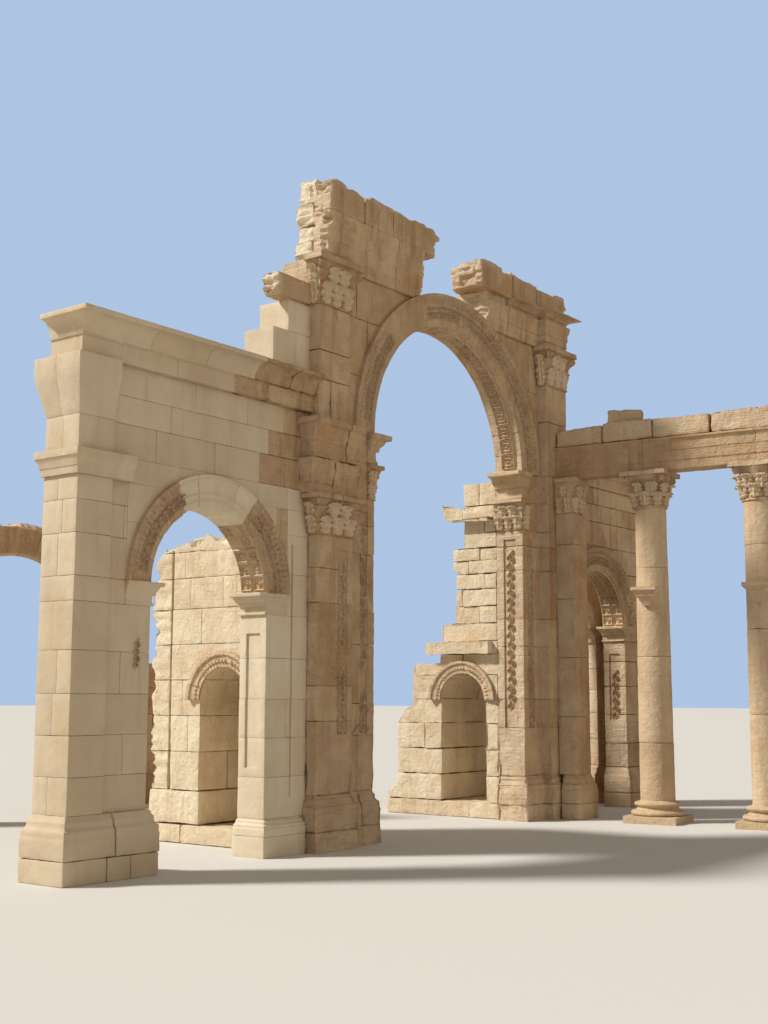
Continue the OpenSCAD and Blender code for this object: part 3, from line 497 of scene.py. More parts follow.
side_spring, middle_spring = 5.73, 9.93
left_centre = (-5.62, 0, side_spring)
right_centre = (11.52, 0, side_spring)
middle_centre = (3.5, 0, middle_spring)
wear(voussoirs("left_arch_springers", left_centre, [14, 29, 43, 133, 148, 165]),
     "left_arch_old_voussoirs", old_stone, 21, ["left_arch_springers"], edge=0.008,
     chip=0.03, cell=0.11)
wear(voussoirs("left_arch_crown", left_centre, [73, 88, 103]),
     "left_arch_new_voussoirs", pale_stone, 22, ["left_arch_crown"], edge=0.006,
     chip=0.01, cell=0.11)
wear(voussoirs("right_arch_ring", right_centre,
               [15, 31, 47, 63, 78, 93, 108, 124, 140, 156, 170]),
     "right_arch_voussoirs", old_stone, 23, ["right_arch_ring"], edge=0.008, chip=0.03,
     cell=0.11)
wear(voussoirs("centre_arch_ring", middle_centre,
               [9, 19, 29, 39, 49, 58, 67, 76, 85, 95, 112, 138, 149, 160, 171]),
     "middle_arch_voussoirs", old_stone, 24, ["centre_arch_ring"], edge=0.01, chip=0.04,
     cell=0.12)

# The left arch stands on plain new imposts and on a new jamb pier beside the old one,
# both of smooth blocks in fine joints.


def plain(seed, node, beds, joints, finish=old_stone, joint=None, **own):
    """Stones of one plain node. Old ones have wide joints, worn arrises and cracks."""
    old = finish is old_stone
    usual = {"edge": 0.01, "chip": 0.02, "rough": 0.004}
    if old:
        usual = {"edge": 0.02, "chip": 0.09, "rough": 0.009, "cracked": 0.16,
                 "shift": 0.008}
    laid(node, beds, joints, node + "_stones", finish, seed,
         joint or (0.017 if old else 0.004), **{**usual, **own})


plain(30, "left_arch_imposts", [], [[-6]], new_stone)
plain(31, "left_jamb_pier", [0.45, 0.81, 1.7, 2.55, 3.4, 4.3, 5.25, 6.2, 7.1, 7.68],
      [[], [-3.2], []], pale_stone)

# The left middle pier is old: squared blocks about 0.7 m high whose foot the sand has
# rubbed round and pale. The blocks over its leaf capital are eaten out the most.
worn_pier = {"cell": 0.12, "strata": 0.012, "chip": 0.1, "joint": 0.006, "edge": 0.016}
plain(32, "left_pier", [0.45, 1.25, 2.55, 3.3, 4.7, 5.5, 6.9, 7.6, 8.25, 9.15,
                        middle_spring, 10.4],
      [[-1.0], [-1.15, -0.62], []], foot=3.2, **worn_pier)
plain(33, "left_pier_pilaster", [0.45, 1.25, 2.9, 3.7, 5.6, 6.4], [],
      **{**worn_pier, "foot": 3.2, "cell": 0.1})
worn_leaves = {"edge": 0.02, "chip": 0.12, "cell": 0.08, "strata": 0.02}
plain(34, "left_order_capital", [], [[-1.95]], **worn_leaves)
plain(35, "left_order_blocks", [8.93, 9.88], [[-2.05], [-1.6]], chip=0.2, edge=0.05,
      rough=0.018, cell=0.09, strata=0.035, rubble=0.015)

# Round the middle arch: imposts that return round both piers, the spandrels and the
# upper pilasters with what the wind has left of their leaf capitals.
plain(36, "centre_imposts", [9.15], [], **worn_leaves)
plain(37, "left_spandrel", [11.3, 12.75], [[-0.75], [-0.3]], cell=0.12, joint=0.012)
plain(38, "right_spandrel", [11.2, 12.4], [[7.5], [7.2]], cell=0.12, joint=0.012)
plain(39, "upper_pilasters", [11.55], [], cell=0.12)
plain(40, "upper_capitals", [], [], **{**worn_leaves, "chip": 0.14, "strata": 0.03})

# Entablature and attic over the left pier are big blocks in open joints, broken off on
# both sides. Rough stones of the wall's core still stand behind them.


def end_at(x, way, depth):
    """Masonry broken off at x, with the rest towards way, which is 1 or -1."""
    return (x, 0, 0), (way, 0, 0), depth


def top_at(z, depth):
    return (0, 0, z), (0, 0, -1), depth


plain(41, "left_entablature", [], [[0.75]], chip=0.12, edge=0.02, joint=0.035,
      cell=0.11, broken=[end_at(-2.1, 1, 0.3), end_at(1.98, -1, 0.2)])
plain(42, "left_attic", [], [[-0.69, 0.5]], chip=0.14, edge=0.03, rough=0.01,
      cell=0.07, joint=0.035, strata=0.012,
      broken=[end_at(-2.06, 1, 0.22), top_at(16.07, 0.3), end_at(2.6, -1, 0.4)])
plain(43, "left_backing_stones", [14.45, 14.87, 15.43], [[-1.3], [-1.6]],
      paler_old_stone, slot="pale_limestone", chip=0.16, edge=0.07, rough=0.012,
      cell=0.08, rubble=0.03, shift=0.03, broken=[end_at(-2.12, 1, 0.2)])

# The right middle pier is like the left one. Over it the blocks next to the arch have
# fallen, and the attic's course is worn lower.
plain(44, "right_pier", [0.45, 1.25, 2.6, 3.4, 4.9, 5.7, 7.1, 7.8, 8.25, 9.1],
      [[8.3], [7.9], []], foot=2.8, **worn_pier)
plain(45, "right_entablature", [], [[6.15]], chip=0.14, edge=0.02, joint=0.035,
      cell=0.1, strata=0.01, broken=[end_at(5.0, 1, 0.22)])
plain(46, "right_attic", [], [[6.29, 7.6]], chip=0.14, edge=0.03, rough=0.012,
      cell=0.08, joint=0.035, strata=0.012,
      broken=[end_at(4.55, 1, 0.2), top_at(15.77, 0.28), end_at(9.48, -1, 0.4)])

# Imposts, wall and end pier of the right side arch are old throughout, laid in courses
# of 0.5 to 0.9 m whose upright joints are never over one another.
plain(47, "right_arch_imposts", [], [], edge=0.01)
plain(48, "right_bay_wall", [6.6, 7.4, 8.17, 8.95, 9.5, 10.03],
      [[9.8], [13.6], [10.4, 12.6], [9.7, 11.1, 12.4, 13.9], [10.5, 11.8, 13.2],
       [9.9, 11.3, 12.7, 14.0], [10.8, 12.2, 13.6]])
plain(49, "right_end_pier", [0.45, 1.25, 2.0, 2.9, 3.8, 4.6, 5.25], [[14.97], [14.1]])

# New stones are stepped up behind the left pier, where the wall of the side bay went
# on. They carry one old beam with a rough broken end.
beam_bed = 12.62
new, old = split(courses("left_stepped_stones", [11.87, beam_bed], [[-3.0], [], []]),
                 "z", beam_bed)
wear(new, "stepped_blocks", pale_stone, 58, ["left_stepped_stones"], edge=0.01,
     chip=0.02)
wear(old, "stepped_old_beam", old_stone, 59, [], edge=0.05, chip=0.15, rough=0.015,
     cell=0.09, strata=0.02, broken=[end_at(-3.9, 1, 0.3)])

# The passage walls behind the middle piers are thick old masonry. Their ends broke off
# in steps, and sand carried by the wind has rounded the lowest courses.
left_passage = courses(
    "left_passage_wall", [0.45, 1.25, 2.15, 3.0, 3.85, 4.7, 5.55, 6.3, 6.95],
    [[1.15, 3.5, 5.9, 7.2, 8.5, along(-1.7)], [along(-1.1)], [1.25, 2.9, along(-2.0)],
     [2.2, 3.3, along(-1.4)]], 0.012, across)
footing, upper = split(left_passage, "z", 1.3)
worn_from, wall_top = 3.92, top_at(7.4, 0.5)
sound, worn_end = split(saw(upper, *across(worn_from), 0.07), "y", worn_from)
wear(sound, "left_passage_stones", paler_old_stone, 61, ["left_passage_wall"],
     edge=0.016, chip=0.1, rough=0.006, shift=0.006, cracked=0.1, foot=2.4,
     broken=[wall_top])
wear(worn_end, "left_passage_worn_end", paler_old_stone, 60, [], edge=0.04, chip=0.12,
     rough=0.01, cell=0.1, strata=0.05, foot=2.6,
     broken=[((0, 4.6, 0), (0, -1, 0), 0.24), wall_top])
wear(footing, "left_passage_footing", paler_old_stone, 62, [], edge=0.07, chip=0.2,
     rough=0.02, cell=0.18, rubble=0.02)
laid("right_passage_wall", [0.45, 1.2, 1.95, 2.7, 3.4, 4.1, 4.7, 5.08, 5.6, 6.1, 6.6,
                            7.05, 7.45, 7.82, 8.25, 8.65, 9.08],
     [[1.9, along(8.3)], [1.5, 2.6, along(9.0)], [2.1, along(7.9)],
      [1.3, 3.5, along(8.7)]],
     "right_passage_stones", paler_old_stone, 63, plane=across, edge=0.035, chip=0.14,
     rough=0.018, cell=0.17, shift=0.025, rubble=0.02)
low_centre = (0, 2.12, 3.37)
wear(voussoirs("low_arch_rings", low_centre, [20, 45, 70, 95, 120, 145, 165],
               Matrix.Rotation(math.pi / 2, 3, "Z")),
     "low_arch_voussoirs", old_stone, 64, ["low_arch_rings"], edge=0.012, chip=0.05,
     rough=0.006, cell=0.07)

# The rear facade is turned thirty degrees to the front one. Of its plain piers and side
# arches only the lower part still stands.
rear_place = (Matrix.Translation((14.97, 0.78, 0))
              @ Matrix.Rotation(math.radians(150), 4, "Z"))
rear_turn = rear_place.to_3x3()


def rear_at(x):
    """Plane across the rear facade, at x from the corner."""
    return rear_place @ Vector((x, 0, 0)), rear_turn @ Vector((1, 0, 0))


rear = {"plane": rear_at, "edge": 0.022, "chip": 0.08, "rough": 0.009, "cell": 0.18}
pier_beds, wall_beds = [0.45, 1.25, 2.1, 2.95, 3.7, 4.4, 5.25], [6.5, 7.3]
wall_top = top_at(8.33, 0.25)
laid("rear_right_piers", pier_beds, [[0.6, 5.9], [6.4], [0.8, 5.6], [6.7]],
     "rear_right_pier_stones", old_stone, 65, **rear)
laid("rear_right_wall", wall_beds, [[0.5], [1.2, 4.7], [0.7, 2.3, 3.9]],
     "rear_right_wall_stones", old_stone, 66,
     broken=[wall_top, (rear_at(5.36)[0], -rear_at(0)[1], 0.3)], **rear)
laid("rear_left_piers", pier_beds, [[16.6], [15.7, 22.9], [17.1], [16.1, 22.6]],
     "rear_left_pier_stones", old_stone, 67, **rear)
laid("rear_left_wall", wall_beds, [[23.0], [18.2, 22.3], [18.7, 20.4, 21.9]],
     "rear_left_wall_stones", old_stone, 68,
     broken=[wall_top, (*rear_at(17.7), 0.3)], **rear)
rear_rings = []
for ring, x in zip(saw([cad_copy("rear_arch_rings")], *rear_at(12.0), 0), (2.96, 20.1)):
    rear_rings += voussoirs(ring, rear_place @ Vector((x, 0, side_spring)),
                            [14, 30, 46, 62, 77, 92, 107, 122, 138, 154, 168], rear_turn)
wear(rear_rings, "rear_arch_voussoirs", old_stone, 69, ["rear_arch_rings"], edge=0.01,
     chip=0.04, rough=0.006, cell=0.19)

# The colonnade: columns of stacked drums on moulded bases, each with a bracket for a
# statue, carry a beam of long blocks and what is left of its worn frieze.
row_place = Matrix.Translation((8.77, 0, 0)) @ Matrix.Rotation(math.radians(6), 4, "Z")


def down_row(y):
    """Plane across the colonnade, at y from the front facade."""
    return row_place @ Vector((0, y, 0)), row_place.to_3x3() @ Vector((0, 1, 0))


drum_stone = limestone(
    "colonnade_limestone", "pale_limestone", (0.645, 0.49, 0.32), (0.505, 0.355, 0.21),
    (0.38, 0.26, 0.15), (0.76, 0.63, 0.45), blotch_size=0.8, pores=0.6, streaks=0.5,
    bedding=0.2, bump=0.05)
# A slightly darker and redder copy of the old stone, which the paling of -x faces skips:
# painted shade for the beam lying in the arch's shadow, partly its own colour
shaded_beam_stone = limestone("shaded_beam_limestone", "weathered_limestone", (0.62, 0.45, 0.275),
                       (0.42, 0.26, 0.135), **weathered)
between_columns = down_row(-4.6)
drums = []
for shaft, beds in zip(saw([cad_copy("column_shafts")], *between_columns, 0),
                       ([3.0, 5.3, 7.6], [2.2, 4.6, 7.1])):
    drums += courses(shaft, beds, [], 0.007)
wear(drums, "column_drums", drum_stone, 71, ["column_shafts"], edge=0.022, chip=0.1,
     rough=0.008, cell=0.11, shift=0.005)
laid("column_bases", [], [[between_columns]], "column_base_stones", drum_stone, 72,
     joint=0, edge=0.014, chip=0.07, rough=0.007, cell=0.09)
laid("colonnade_pilaster", [0.45, 1.25, 2.9, 4.6, 6.3, 7.9, 8.82], [],
     "colonnade_pilaster_stones", old_stone, 73, edge=0.02, chip=0.06, rough=0.007)
laid("colonnade_architrave", [], [[-3.0, -6.25]], "colonnade_beam_blocks", shaded_beam_stone,
     74, plane=down_row, edge=0.016, chip=0.07, rough=0.008, cell=0.12,
     broken=[(*down_row(-6.9), 0.2)])
loose_stone = bmesh.new()
bmesh.ops.create_cube(loose_stone, size=1.0)
bmesh.ops.transform(loose_stone, verts=loose_stone.verts,
                    matrix=row_place @ Matrix.Translation((0.02, -2.35, 11.56))
                    @ Matrix.Rotation(0.3, 4, "Z") @ Matrix.Diagonal((0.6, 1.05, 0.5, 1)))
wear(courses("colonnade_frieze", [], [[-1.75, -3.3, -5.0]], plane=down_row)
     + [loose_stone], "colonnade_frieze_stones", old_stone, 75, ["colonnade_frieze"],
     edge=0.09, chip=0.2, rough=0.02, cell=0.11, shift=0.03, rubble=0.045)

# Carved ornament: leaf scrolls, keys, tongues and coffers stand three to eight
# centimetres off the stone they were cut from. Here and there a piece has broken off.
sunk = 0.012


def bar(path, half, high, closed=False):
    """Bar along a path of (x, z) points that stands off the face towards -y."""
    points, faces = [], []
    count = len(path)
    for i, (x, z) in enumerate(path):
        back = path[i - 1] if closed or i else path[i]
        ahead = path[(i + 1) % count] if closed or i < count - 1 else path[i]
        dx, dz = ahead[0] - back[0], ahead[1] - back[1]
        size = math.hypot(dx, dz)
        nx, nz = -dz / size * half, dx / size * half
        points += [(x + nx, sunk, z + nz), (x, -high, z), (x - nx, sunk, z - nz)]
    for i in range(count if closed else count - 1):
        a, b = 3 * i, 3 * ((i + 1) % count)
        faces += [(a, b, b + 1, a + 1), (a + 1, b + 1, b + 2, a + 2),
                  (a + 2, b + 2, b, a)]
    if not closed:
        faces += [(0, 1, 2), (3 * count - 1, 3 * count - 2, 3 * count - 3)]
    return points, faces


def boss(x, z, radius, high):
    """Small pointed boss."""
    points = [(x + radius * math.cos(i * math.pi / 3), sunk,
               z + radius * math.sin(i * math.pi / 3)) for i in range(6)]
    return points + [(x, -high, z)], [(i, (i + 1) % 6, 6) for i in range(6)] + [
        (5, 4, 3, 2, 1, 0)]


def mark(mesh, name, values):
    mesh.attributes.new(name, "FLOAT", "POINT").data.foreach_set("value", values)


def element(name, *shapes):
    """Object of one carved element; what stands out most is rubbed most and painted palest,
    leaving the sunk ground darker as painted shade.
    """
    points, faces = [], []
    for own_points, own_faces in shapes:
        faces += [[len(points) + i for i in face] for face in own_faces]
        points += own_points
    mesh = bpy.data.meshes.new(name)
    mesh.from_pydata(points, [], faces)
    bm = bmesh.new()
    bm.from_mesh(mesh)
    bmesh.ops.recalc_face_normals(bm, faces=bm.faces)
    bm.to_mesh(mesh)
    bm.free()
    highest = 0.05
    mark(mesh, "rub_and_light", [min(1.0, max(0.0, -p[1] / highest)) for p in points])
    return bpy.data.objects.new(name, mesh)


def scroll(period, half):
    """One period of a leaf scroll: a waving stem and two curls that roll off it."""
    stem = [(period * t / 8, -0.62 * half * math.cos(math.pi * t / 4)) for t in range(9)]
    shapes = [bar(stem, 0.16 * half, 0.055)]
    for x, z, way in ((0, 0.2 * half, -1), (period / 2, -0.2 * half, 1)):
        curl = []
        for i in range(10):
            a = math.pi + way * math.radians(52 * i)
            r = half * (0.66 - 0.05 * i)
            curl.append((x + r * math.cos(a), z + r * math.sin(a)))
        shapes += [bar(curl, 0.14 * half, 0.06), boss(x, z, 0.24 * half, 0.065)]
        for lean in (-1, 1):
            tip = (x + lean * 0.5 * half + period / 4, z * 3.2)
            shapes.append(bar([(x + period / 4, z), tip], 0.14 * half, 0.05))
    return element("scroll", *shapes)


def key(period, half):
    """One period of a key pattern between two fillets."""
    line = [(0.1, -0.75), (0.1, 0.75), (0.85, 0.75), (0.85, -0.25), (0.48, -0.25),
            (0.48, 0.25)]
    return element("key",
                   bar([(period * x, half * z) for x, z in line], 0.1 * half + 0.008,
                       0.055),
                   bar([(0, -half), (period, -half)], 0.014, 0.045),
                   bar([(0, half), (period, half)], 0.014, 0.045))


def coffer(size):
    """Coffer with a lozenge and a boss in it."""
    a = size * 0.46
    b = size * 0.3
    return element("coffer", bar([(-a, -a), (a, -a), (a, a), (-a, a)], 0.045, 0.05, True),
                   bar([(0, -b), (b, 0), (0, b), (-b, 0)], 0.03, 0.035, True),
                   boss(0, 0, 0.07, 0.05))


def key_box(size):
    """Square frame with two hooked bars in it."""
    a = size * 0.46
    b = size * 0.24
    return element("key_box",
                   bar([(-a, -a), (a, -a), (a, a), (-a, a)], 0.03, 0.07, True),
                   bar([(-b, b), (-b, -b), (0, -b), (0, b * 0.3)], 0.034, 0.07),
                   bar([(b, -b), (b, b), (b * 0.2, b)], 0.034, 0.07))


def tongue(length, half, high=0.04):
    return element("tongue", bar([(0, 0), (0, 0.5 * length), (0, length)], half, high))


def leaf(width, height, curl):
    """Acanthus leaf that leans on the bell and rolls over at its lobed tip."""
    rows, columns = 11, 7
    front, back = [], []
    for j in range(rows):
        v = j / (rows - 1)
        w = width / 2 * (0.7 + 0.3 * math.sin(math.pi * v)) * (0.7 if j % 3 == 2 else 1.0)
        if v > 0.72:
            w *= math.sqrt(max(0.1, 1 - ((v - 0.72) / 0.3) ** 2))
        z = height * min(v / 0.84, 1.0) - height * 0.2 * max(0.0, v - 0.84) / 0.16
        out = 0.015 + curl * v ** 2.2
        for i in range(columns):
            u = 2 * i / (columns - 1) - 1
            y = -out - 0.05 * (1 - abs(u)) - 0.03 * (i % 2) - 0.02 * (j % 3 == 1)
            lift = 0.1 * height * abs(u) * (1 - v)
            front.append((w * u, y, z + lift))
            back.append((w * u, min(0.02, y + 0.08) if v > 0.4 else 0.02,
                         z + lift - 0.02))
    points = front + back
    size = rows * columns
    faces = []
    for j in range(rows - 1):
        for i in range(columns - 1):
            a = j * columns + i
            faces.append((a, a + 1, a + 1 + columns, a + columns))
            faces.append(tuple(size + k for k in
                               (a + columns, a + 1 + columns, a + 1, a)))
    rim = ([i for i in range(columns)] + [j * columns + columns - 1 for j in range(1, rows)]
           + [size - 1 - i for i in range(1, columns)]
           + [j * columns for j in range(rows - 2, 0, -1)])
    for a, b in zip(rim, rim[1:] + rim[:1]):
        faces.append((b, a, size + a, size + b))
    return element("leaf", (points, faces))


def row_tree(kind):
    """Geometry Nodes that set copies of an element along a straight line, over an arch
    or round a capital. Some copies are missing, and their sizes differ a little. First
    and Last are angles in degrees."""
    tree = bpy.data.node_groups.new("carved_row_" + kind, "GeometryNodeTree")
    sizes = [("Step", 0.3)] if kind == "line" else [
        ("Radius", 1.0), ("First", 0.0), ("Last", 180.0)]
    for label, socket_type, value in (
            [("Element", "Object", None), ("Finish", "Material", None),
             ("Count", "Int", 8), ("Seed", "Int", 1)]
            + [(label, "Float", value) for label, value in
               sizes + [("Missing", 0.0), ("Uneven", 0.06)]]):
        socket = tree.interface.new_socket(label, in_out="INPUT",
                                           socket_type="NodeSocket" + socket_type)
        if value is not None:
            socket.default_value = value
    tree.interface.new_socket("Geometry", in_out="OUTPUT",
                              socket_type="NodeSocketGeometry")
    calc, add = partial(compute, tree), partial(wire, tree)
    given = tree.nodes.new("NodeGroupInput").outputs
    half_way = calc("ADD", tree.nodes.new("GeometryNodeInputIndex").outputs[0], 0.5)
    turn = None
    if kind == "line":
        point = add("ShaderNodeCombineXYZ",
                    {"X": calc("MULTIPLY", half_way, given["Step"])})
    else:
        share = calc("DIVIDE", half_way, given["Count"])
        sweep = calc("SUBTRACT", given["Last"], given["First"])
        angle = calc("RADIANS", calc("ADD", given["First"],
                                     calc("MULTIPLY", sweep, share)))
        right = calc("MULTIPLY", given["Radius"], calc("COSINE", angle))
        up = calc("MULTIPLY", given["Radius"], calc("SINE", angle))
        if kind == "arch":
            point = add("ShaderNodeCombineXYZ", {"X": right, "Z": up})
            turn = add("ShaderNodeCombineXYZ",
                       {"Y": calc("SUBTRACT", math.pi / 2, angle)})
        else:
            point = add("ShaderNodeCombineXYZ", {"X": right, "Y": up})
            turn = add("ShaderNodeCombineXYZ", {"Z": calc("ADD", angle, math.pi / 2)})
    line = add("GeometryNodeMeshLine", {"Count": given["Count"], "Offset": (0, 0, 0)},
               mode="OFFSET")
    moved = add("GeometryNodeSetPosition", {"Geometry": line.outputs[0],
                                            "Position": point.outputs[0]})
    piece = add("GeometryNodeObjectInfo", {"Object": given["Element"]})
    chance = add("FunctionNodeRandomValue", {8: given["Seed"]}, data_type="FLOAT")
    size = add("FunctionNodeRandomValue", {
        2: calc("SUBTRACT", 1.0, given["Uneven"]), 3: 1.0,
        8: calc("ADD", given["Seed"], 7.0)}, data_type="FLOAT")
    kept = add("FunctionNodeCompare", {0: chance.outputs[1], 1: given["Missing"]},
               data_type="FLOAT", operation="GREATER_THAN")
    copies = add("GeometryNodeInstanceOnPoints", {
        "Points": moved.outputs[0], "Selection": kept.outputs[0],
        "Instance": piece.outputs["Geometry"], "Scale": size.outputs[1]})
    if turn:
        turned = add("FunctionNodeEulerToRotation", {0: turn.outputs[0]})
        tree.links.new(turned.outputs[0], copies.inputs["Rotation"])
    real = add("GeometryNodeRealizeInstances", {"Geometry": copies.outputs[0]})
    finished = add("GeometryNodeSetMaterial", {"Geometry": real.outputs[0],
                                               "Material": given["Finish"]})
    tree.links.new(finished.outputs[0],
                   tree.nodes.new("NodeGroupOutput").inputs["Geometry"])
    return tree


row_trees = {kind: row_tree(kind) for kind in ("line", "arch", "round")}


def carved_row(kind, shape, **values):
    """Mesh of one row of a carved element."""
    tree = row_trees[kind]
    holder = in_scene("row", bpy.data.meshes.new("row"))
    modifier = holder.modifiers.new("row", "NODES")
    modifier.node_group = tree
    values = {"Element": shape, "Finish": old_stone, **values}
    for item in tree.interface.items_tree:
        if item.in_out == "INPUT" and item.name in values:
            modifier[item.identifier] = values[item.name]
    mesh = applied(holder)
    bpy.data.objects.remove(holder)
    return mesh


def carving(rows, name, finish=old_stone, worn=0.008):
    """Joins carved rows, each with its place, to one piece that is a little worn."""
    points, faces, rub_and_light = [], [], []
    for mesh, place in rows:
        if not mesh.vertices:
            continue
        start = len(points)
        points += [place @ v.co for v in mesh.vertices]
        faces += [[start + i for i in p.vertices] for p in mesh.polygons]
        rub_and_light += [item.value for item in mesh.attributes["rub_and_light"].data]
    # Without a seed the clock sets where this noise starts
    noise.seed_set(1)
    points = [p + noise.noise_vector(p * 6.0) * worn for p in points]
    made = bpy.data.meshes.new(name)
    made.from_pydata(points, [], faces)
    # Carved stone is painted paler overall and palest on its tops: painted light against
    # the shade its relief casts on itself
    mark(made, "rub_and_light", [0.12 + 0.9 * r for r in rub_and_light])
    mark(made, "tone", [0.2 + 0.3 * noise.noise(p * 0.8) for p in points])
    made.materials.append(finish)
    piece = in_scene(name, made)
    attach(piece, "root")
    return piece


# The arches' fronts carry a key row, a leaf scroll and a row of tongues between plain
# beads, and coffers or hooked frames fill their soffits. The left arch's new crown has
# new beads only.


def before(centre, out):
    """Place of an arch's centre that far in front of its face."""
    return Matrix.Translation(Vector(centre) + Vector((0, -out, 0)))


soffit_turn = Matrix.Rotation(math.pi / 2, 4, "X")
coffers = ((0.26, 0.33, coffer), (0.74, 0.33, coffer))
for name, centre, inner, ring, depth, spans, boxes, seed in (
        ("middle_arch", middle_centre, 3.5, 0.86, 0.9, ((2, 111), (139, 178)),
         ((0.48, 0.44, key_box),), 81),
        ("left_arch", left_centre, 1.72, 0.68, 0.78, ((2, 57), (119, 178)), coffers, 82),
        ("right_arch", right_centre, 1.72, 0.68, 0.78, ((2, 178),), coffers, 83)):
    rows = []
    for first, last in spans:
        sweep = math.radians(last - first)
        for share, out, shape, step in (
                (0.32, 0.022, key(0.22, 0.085 * ring), 0.22),
                (0.525, 0.04, scroll(0.38, 0.085 * ring), 0.38),
                (0.71, 0.05, tongue(0.27 * ring, 0.03, 0.085), 0.125)):
            radius = inner + share * ring
            count = max(1, round(sweep * radius / step))
            rows.append((carved_row("arch", shape, Radius=radius, Count=count, Seed=seed,
                                    Missing=0.05, First=first, Last=last),
                         before(centre, out)))
        for share, size, box in boxes:
            panel = box(size)
            panel.data.transform(soffit_turn)
            y = share * depth
            rows.append((carved_row("arch", panel, Radius=inner,
                                    Count=round(sweep * inner / size), Missing=0.14,
                                    Seed=seed + round(10 * y), First=first, Last=last),
                         before(centre, -y)))
    carving(rows, name + "_carving")
    for title, finish, angles in (
            ("_beads", old_stone, spans),
            ("_new_beads", pale_stone, ((58, 118),) if name == "left_arch" else ())):
        rows = []
        for first, last in angles:
            arc = [math.radians(first + (last - first) * i / 40) for i in range(41)]
            for share, half, out, high in ((0.21, 0.018, 0.012, 0.03),
                                           (0.43, 0.02, 0.034, 0.034),
                                           (0.86, 0.03, 0.09, 0.035)):
                radius = inner + share * ring
                bead = bar([(radius * math.cos(a), radius * math.sin(a)) for a in arc],
                           half, high)
                rows.append((element("bead", bead).data, before(centre, out)))
        if rows:
            carving(rows, name + title, finish, 0.004)
rows = []
for x in (-3.0, 7.0):
    for radius, shape, step in ((0.86, tongue(0.09, 0.035, 0.05), 0.1),
                                (1.0, tongue(0.08, 0.022, 0.05), 0.065)):
        rows.append((carved_row("arch", shape, Radius=radius, Missing=0.1, Seed=84,
                                Count=round(math.pi * radius / step), First=0, Last=180),
                     Matrix.Translation((x - 0.06, *low_centre[1:]))
                     @ Matrix.Rotation(-math.pi / 2, 4, "Z")))
carving(rows, "low_arch_carving")

# Sunk panels of leaf scroll run up the piers' faces and the arches' jambs, and a short
# strip of it is built into the left end pier.
upright = Matrix.Rotation(-math.pi / 2, 4, "Y")
rows = []
for x, y, turn, foot, head, half in (
        (-0.41, 0.045, 0, 2.7, 7.95, 0.12), (-1.584, -0.255, 0, 2.7, 6.8, 0.15),
        (7.41, 0.045, 0, 2.7, 7.95, 0.12), (-0.045, 0.45, 90, 2.7, 7.95, 0.16),
        (7.045, 0.45, -90, 2.7, 7.95, 0.16), (13.285, 0.39, -90, 2.85, 4.8, 0.15),
        (-7.7, 0.0, 0, 4.05, 4.65, 0.09)):
    period = 0.5 if head - foot > 1 else 0.28
    rows.append((carved_row("line", scroll(period, half), Step=period, Missing=0.06,
                            Count=int((head - foot) / period), Seed=round(x * 10) + 90),
                 Matrix.Translation((x, y, foot))
                 @ Matrix.Rotation(math.radians(turn), 4, "Z")
                 @ upright @ Matrix.Translation((-period / 2, 0, 0))))
carving(rows, "pier_panel_carving")

# Two rows of acanthus leaves go round the pilasters' capitals, and the bands under the
# middle arch's imposts and the colonnade's pilaster have the same leaves.
facing = {"front": 0.0, "right": math.pi / 2, "left": -math.pi / 2}


def leafy(x, y, z, side, width, high, out, count):
    """Two rows of leaves on one face, which starts at x, y and is width wide."""
    made = []
    step = width / count
    for share, stand, odd in ((0.02, 0.1, 0), (0.36, 0.26, 1 if count > 1 else 0)):
        shape = leaf(step * 1.12, 0.46 * high, 0.55 * out)
        place = (Matrix.Translation((x, y, z + share * high))
                 @ Matrix.Rotation(facing[side], 4, "Z")
                 @ Matrix.Translation((0.5 * step * odd, -stand * out, 0)))
        made.append((carved_row("line", shape, Step=step, Count=count - odd, Missing=0.08,
                                Seed=round(z * 7) + odd), place))
    return made


rows = []
for x, z, high, width, out in (
        (-2.52, 7.18, 0.92, 1.3, 0.3), (-2.52, 12.65, 1.18, 1.17, 0.26),
        (7.95, 12.65, 1.18, 1.17, 0.26)):
    rows += leafy(x, -0.3, z, "front", width, high, out, 3)
    rows += leafy(x, 0.0, z, "left", 0.3, high, out, 1)
    rows += leafy(x + width, -0.3, z, "right", 0.3, high, out, 1)
for band in ((0.0, 0.0, 8.25, "right", 0.9, 0.9, 0.26, 3),
             (-0.3, 0.0, 8.25, "front", 0.3, 0.9, 0.13, 1),
             (7.0, 0.9, 8.25, "left", 0.9, 0.9, 0.26, 3),
             (7.0, 0.0, 8.25, "front", 0.3, 0.9, 0.13, 1),
             (8.4, -0.8, 8.82, "front", 0.75, 1.06, 0.2, 2),
             (8.4, -0.3, 8.82, "left", 0.5, 1.06, 0.1, 2)):
    rows += leafy(*band)
carving(rows, "pilaster_capital_leaves")

# The columns' capitals are worn bells with two rows of eight leaves round them, the
# upper row turned by half a leaf.
laid("column_capitals", [], [[between_columns]], "column_capital_stones", old_stone,
     76, joint=0, edge=0.01, chip=0.05, rough=0.006, cell=0.07)
rows = []
for y in (-3.05, -6.2):
    for z, radius, start in ((8.88, 0.45, 0.0), (9.14, 0.49, 22.5)):
        rows.append((carved_row("round", leaf(0.37, 0.42, 0.16), Radius=radius, Count=8,
                                Seed=round(-y * 9), First=start - 22.5,
                                Last=start + 337.5),
                     row_place @ Matrix.Translation((0, y, z))))
carving(rows, "column_capital_leaves")

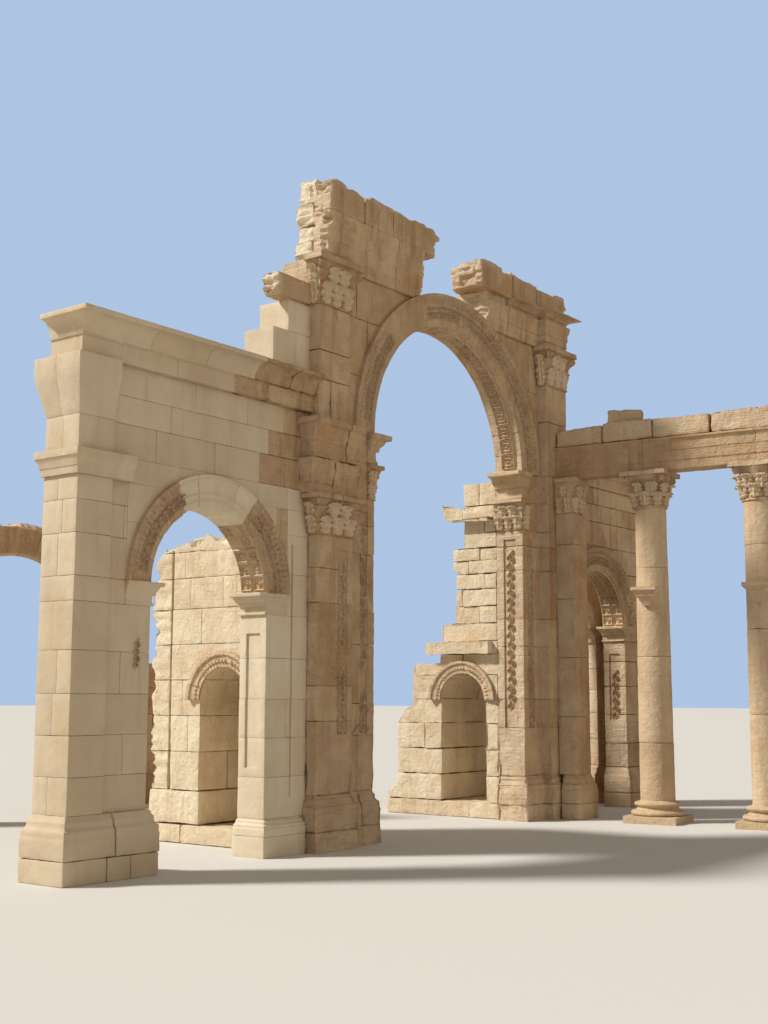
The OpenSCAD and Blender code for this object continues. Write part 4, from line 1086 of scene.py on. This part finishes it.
# The camera stands where the photographer stood, left of the arch and far back. Place,
# direction and lens come from the straight lines of the masonry.
camera = bpy.data.cameras.new("camera")
camera.lens = 46.76
camera.sensor_width = 36.0
view = in_scene("camera", camera)
yaw, pitch, roll = (math.radians(a) for a in (37.30, 7.92, 0.12))
view.matrix_world = (Matrix.Translation((-25.77, -19.93, 3.45))
                     @ Matrix.Rotation(yaw - math.pi / 2, 4, "Z")
                     @ Matrix.Rotation(math.pi / 2 + pitch, 4, "X")
                     @ Matrix.Rotation(roll, 4, "Z"))
scene.camera = view

# Plain pale ground and soft light: a broad lamp from the left and a little behind, so
# that the fronts lie in warm shade, a weak one from in front, and an even sky
ground = bpy.data.meshes.new("floor")
far = 400
ground.from_pydata([(-far, -far, 0), (far, -far, 0), (far, far, 0), (-far, far, 0)], [],
                   [(0, 1, 2, 3)])
floor = in_scene("floor", ground)
floor_paint = bpy.data.materials.new("pale_floor")
floor_paint.use_nodes = True
floor_skin = floor_paint.node_tree.nodes["Principled BSDF"]
floor_skin.inputs["Base Color"].default_value = (0.60, 0.57, 0.52, 1)
floor_skin.inputs["Roughness"].default_value = 0.9
ground.materials.append(floor_paint)
world = bpy.data.worlds.new("sky")
scene.world = world
world.use_nodes = True
sky = world.node_tree
sky_light = sky.nodes["Background"]
sky_light.inputs["Color"].default_value = (0.86, 0.83, 0.80, 1)
sky_light.inputs["Strength"].default_value = 0.36
backdrop = wire(sky, "ShaderNodeBackground", {"Color": (0.42, 0.56, 0.77, 1),
                                              "Strength": 1.0})
seen = wire(sky, "ShaderNodeMixShader", {
    0: wire(sky, "ShaderNodeLightPath").outputs["Is Camera Ray"],
    1: sky_light.outputs[0], 2: backdrop.outputs[0]})
sky.links.new(seen.outputs[0], sky.nodes["World Output"].inputs["Surface"])


def lamp(name, towards, spread_angle, strength, colour):
    light = bpy.data.lights.new(name, "SUN")
    light.angle = math.radians(spread_angle)
    light.energy = strength
    light.color = colour
    holder = in_scene(name, light)
    holder.rotation_mode = "QUATERNION"
    holder.rotation_quaternion = Vector(towards).to_track_quat("-Z", "Y")


lamp("key", (0.52, -0.53, -0.67), 8, 4.4, (1.0, 0.99, 0.96))
lamp("fill", (0.1, 0.9, -0.2), 80, 0.5, (1.0, 0.86, 0.68))
scene.view_settings.view_transform = "Standard"
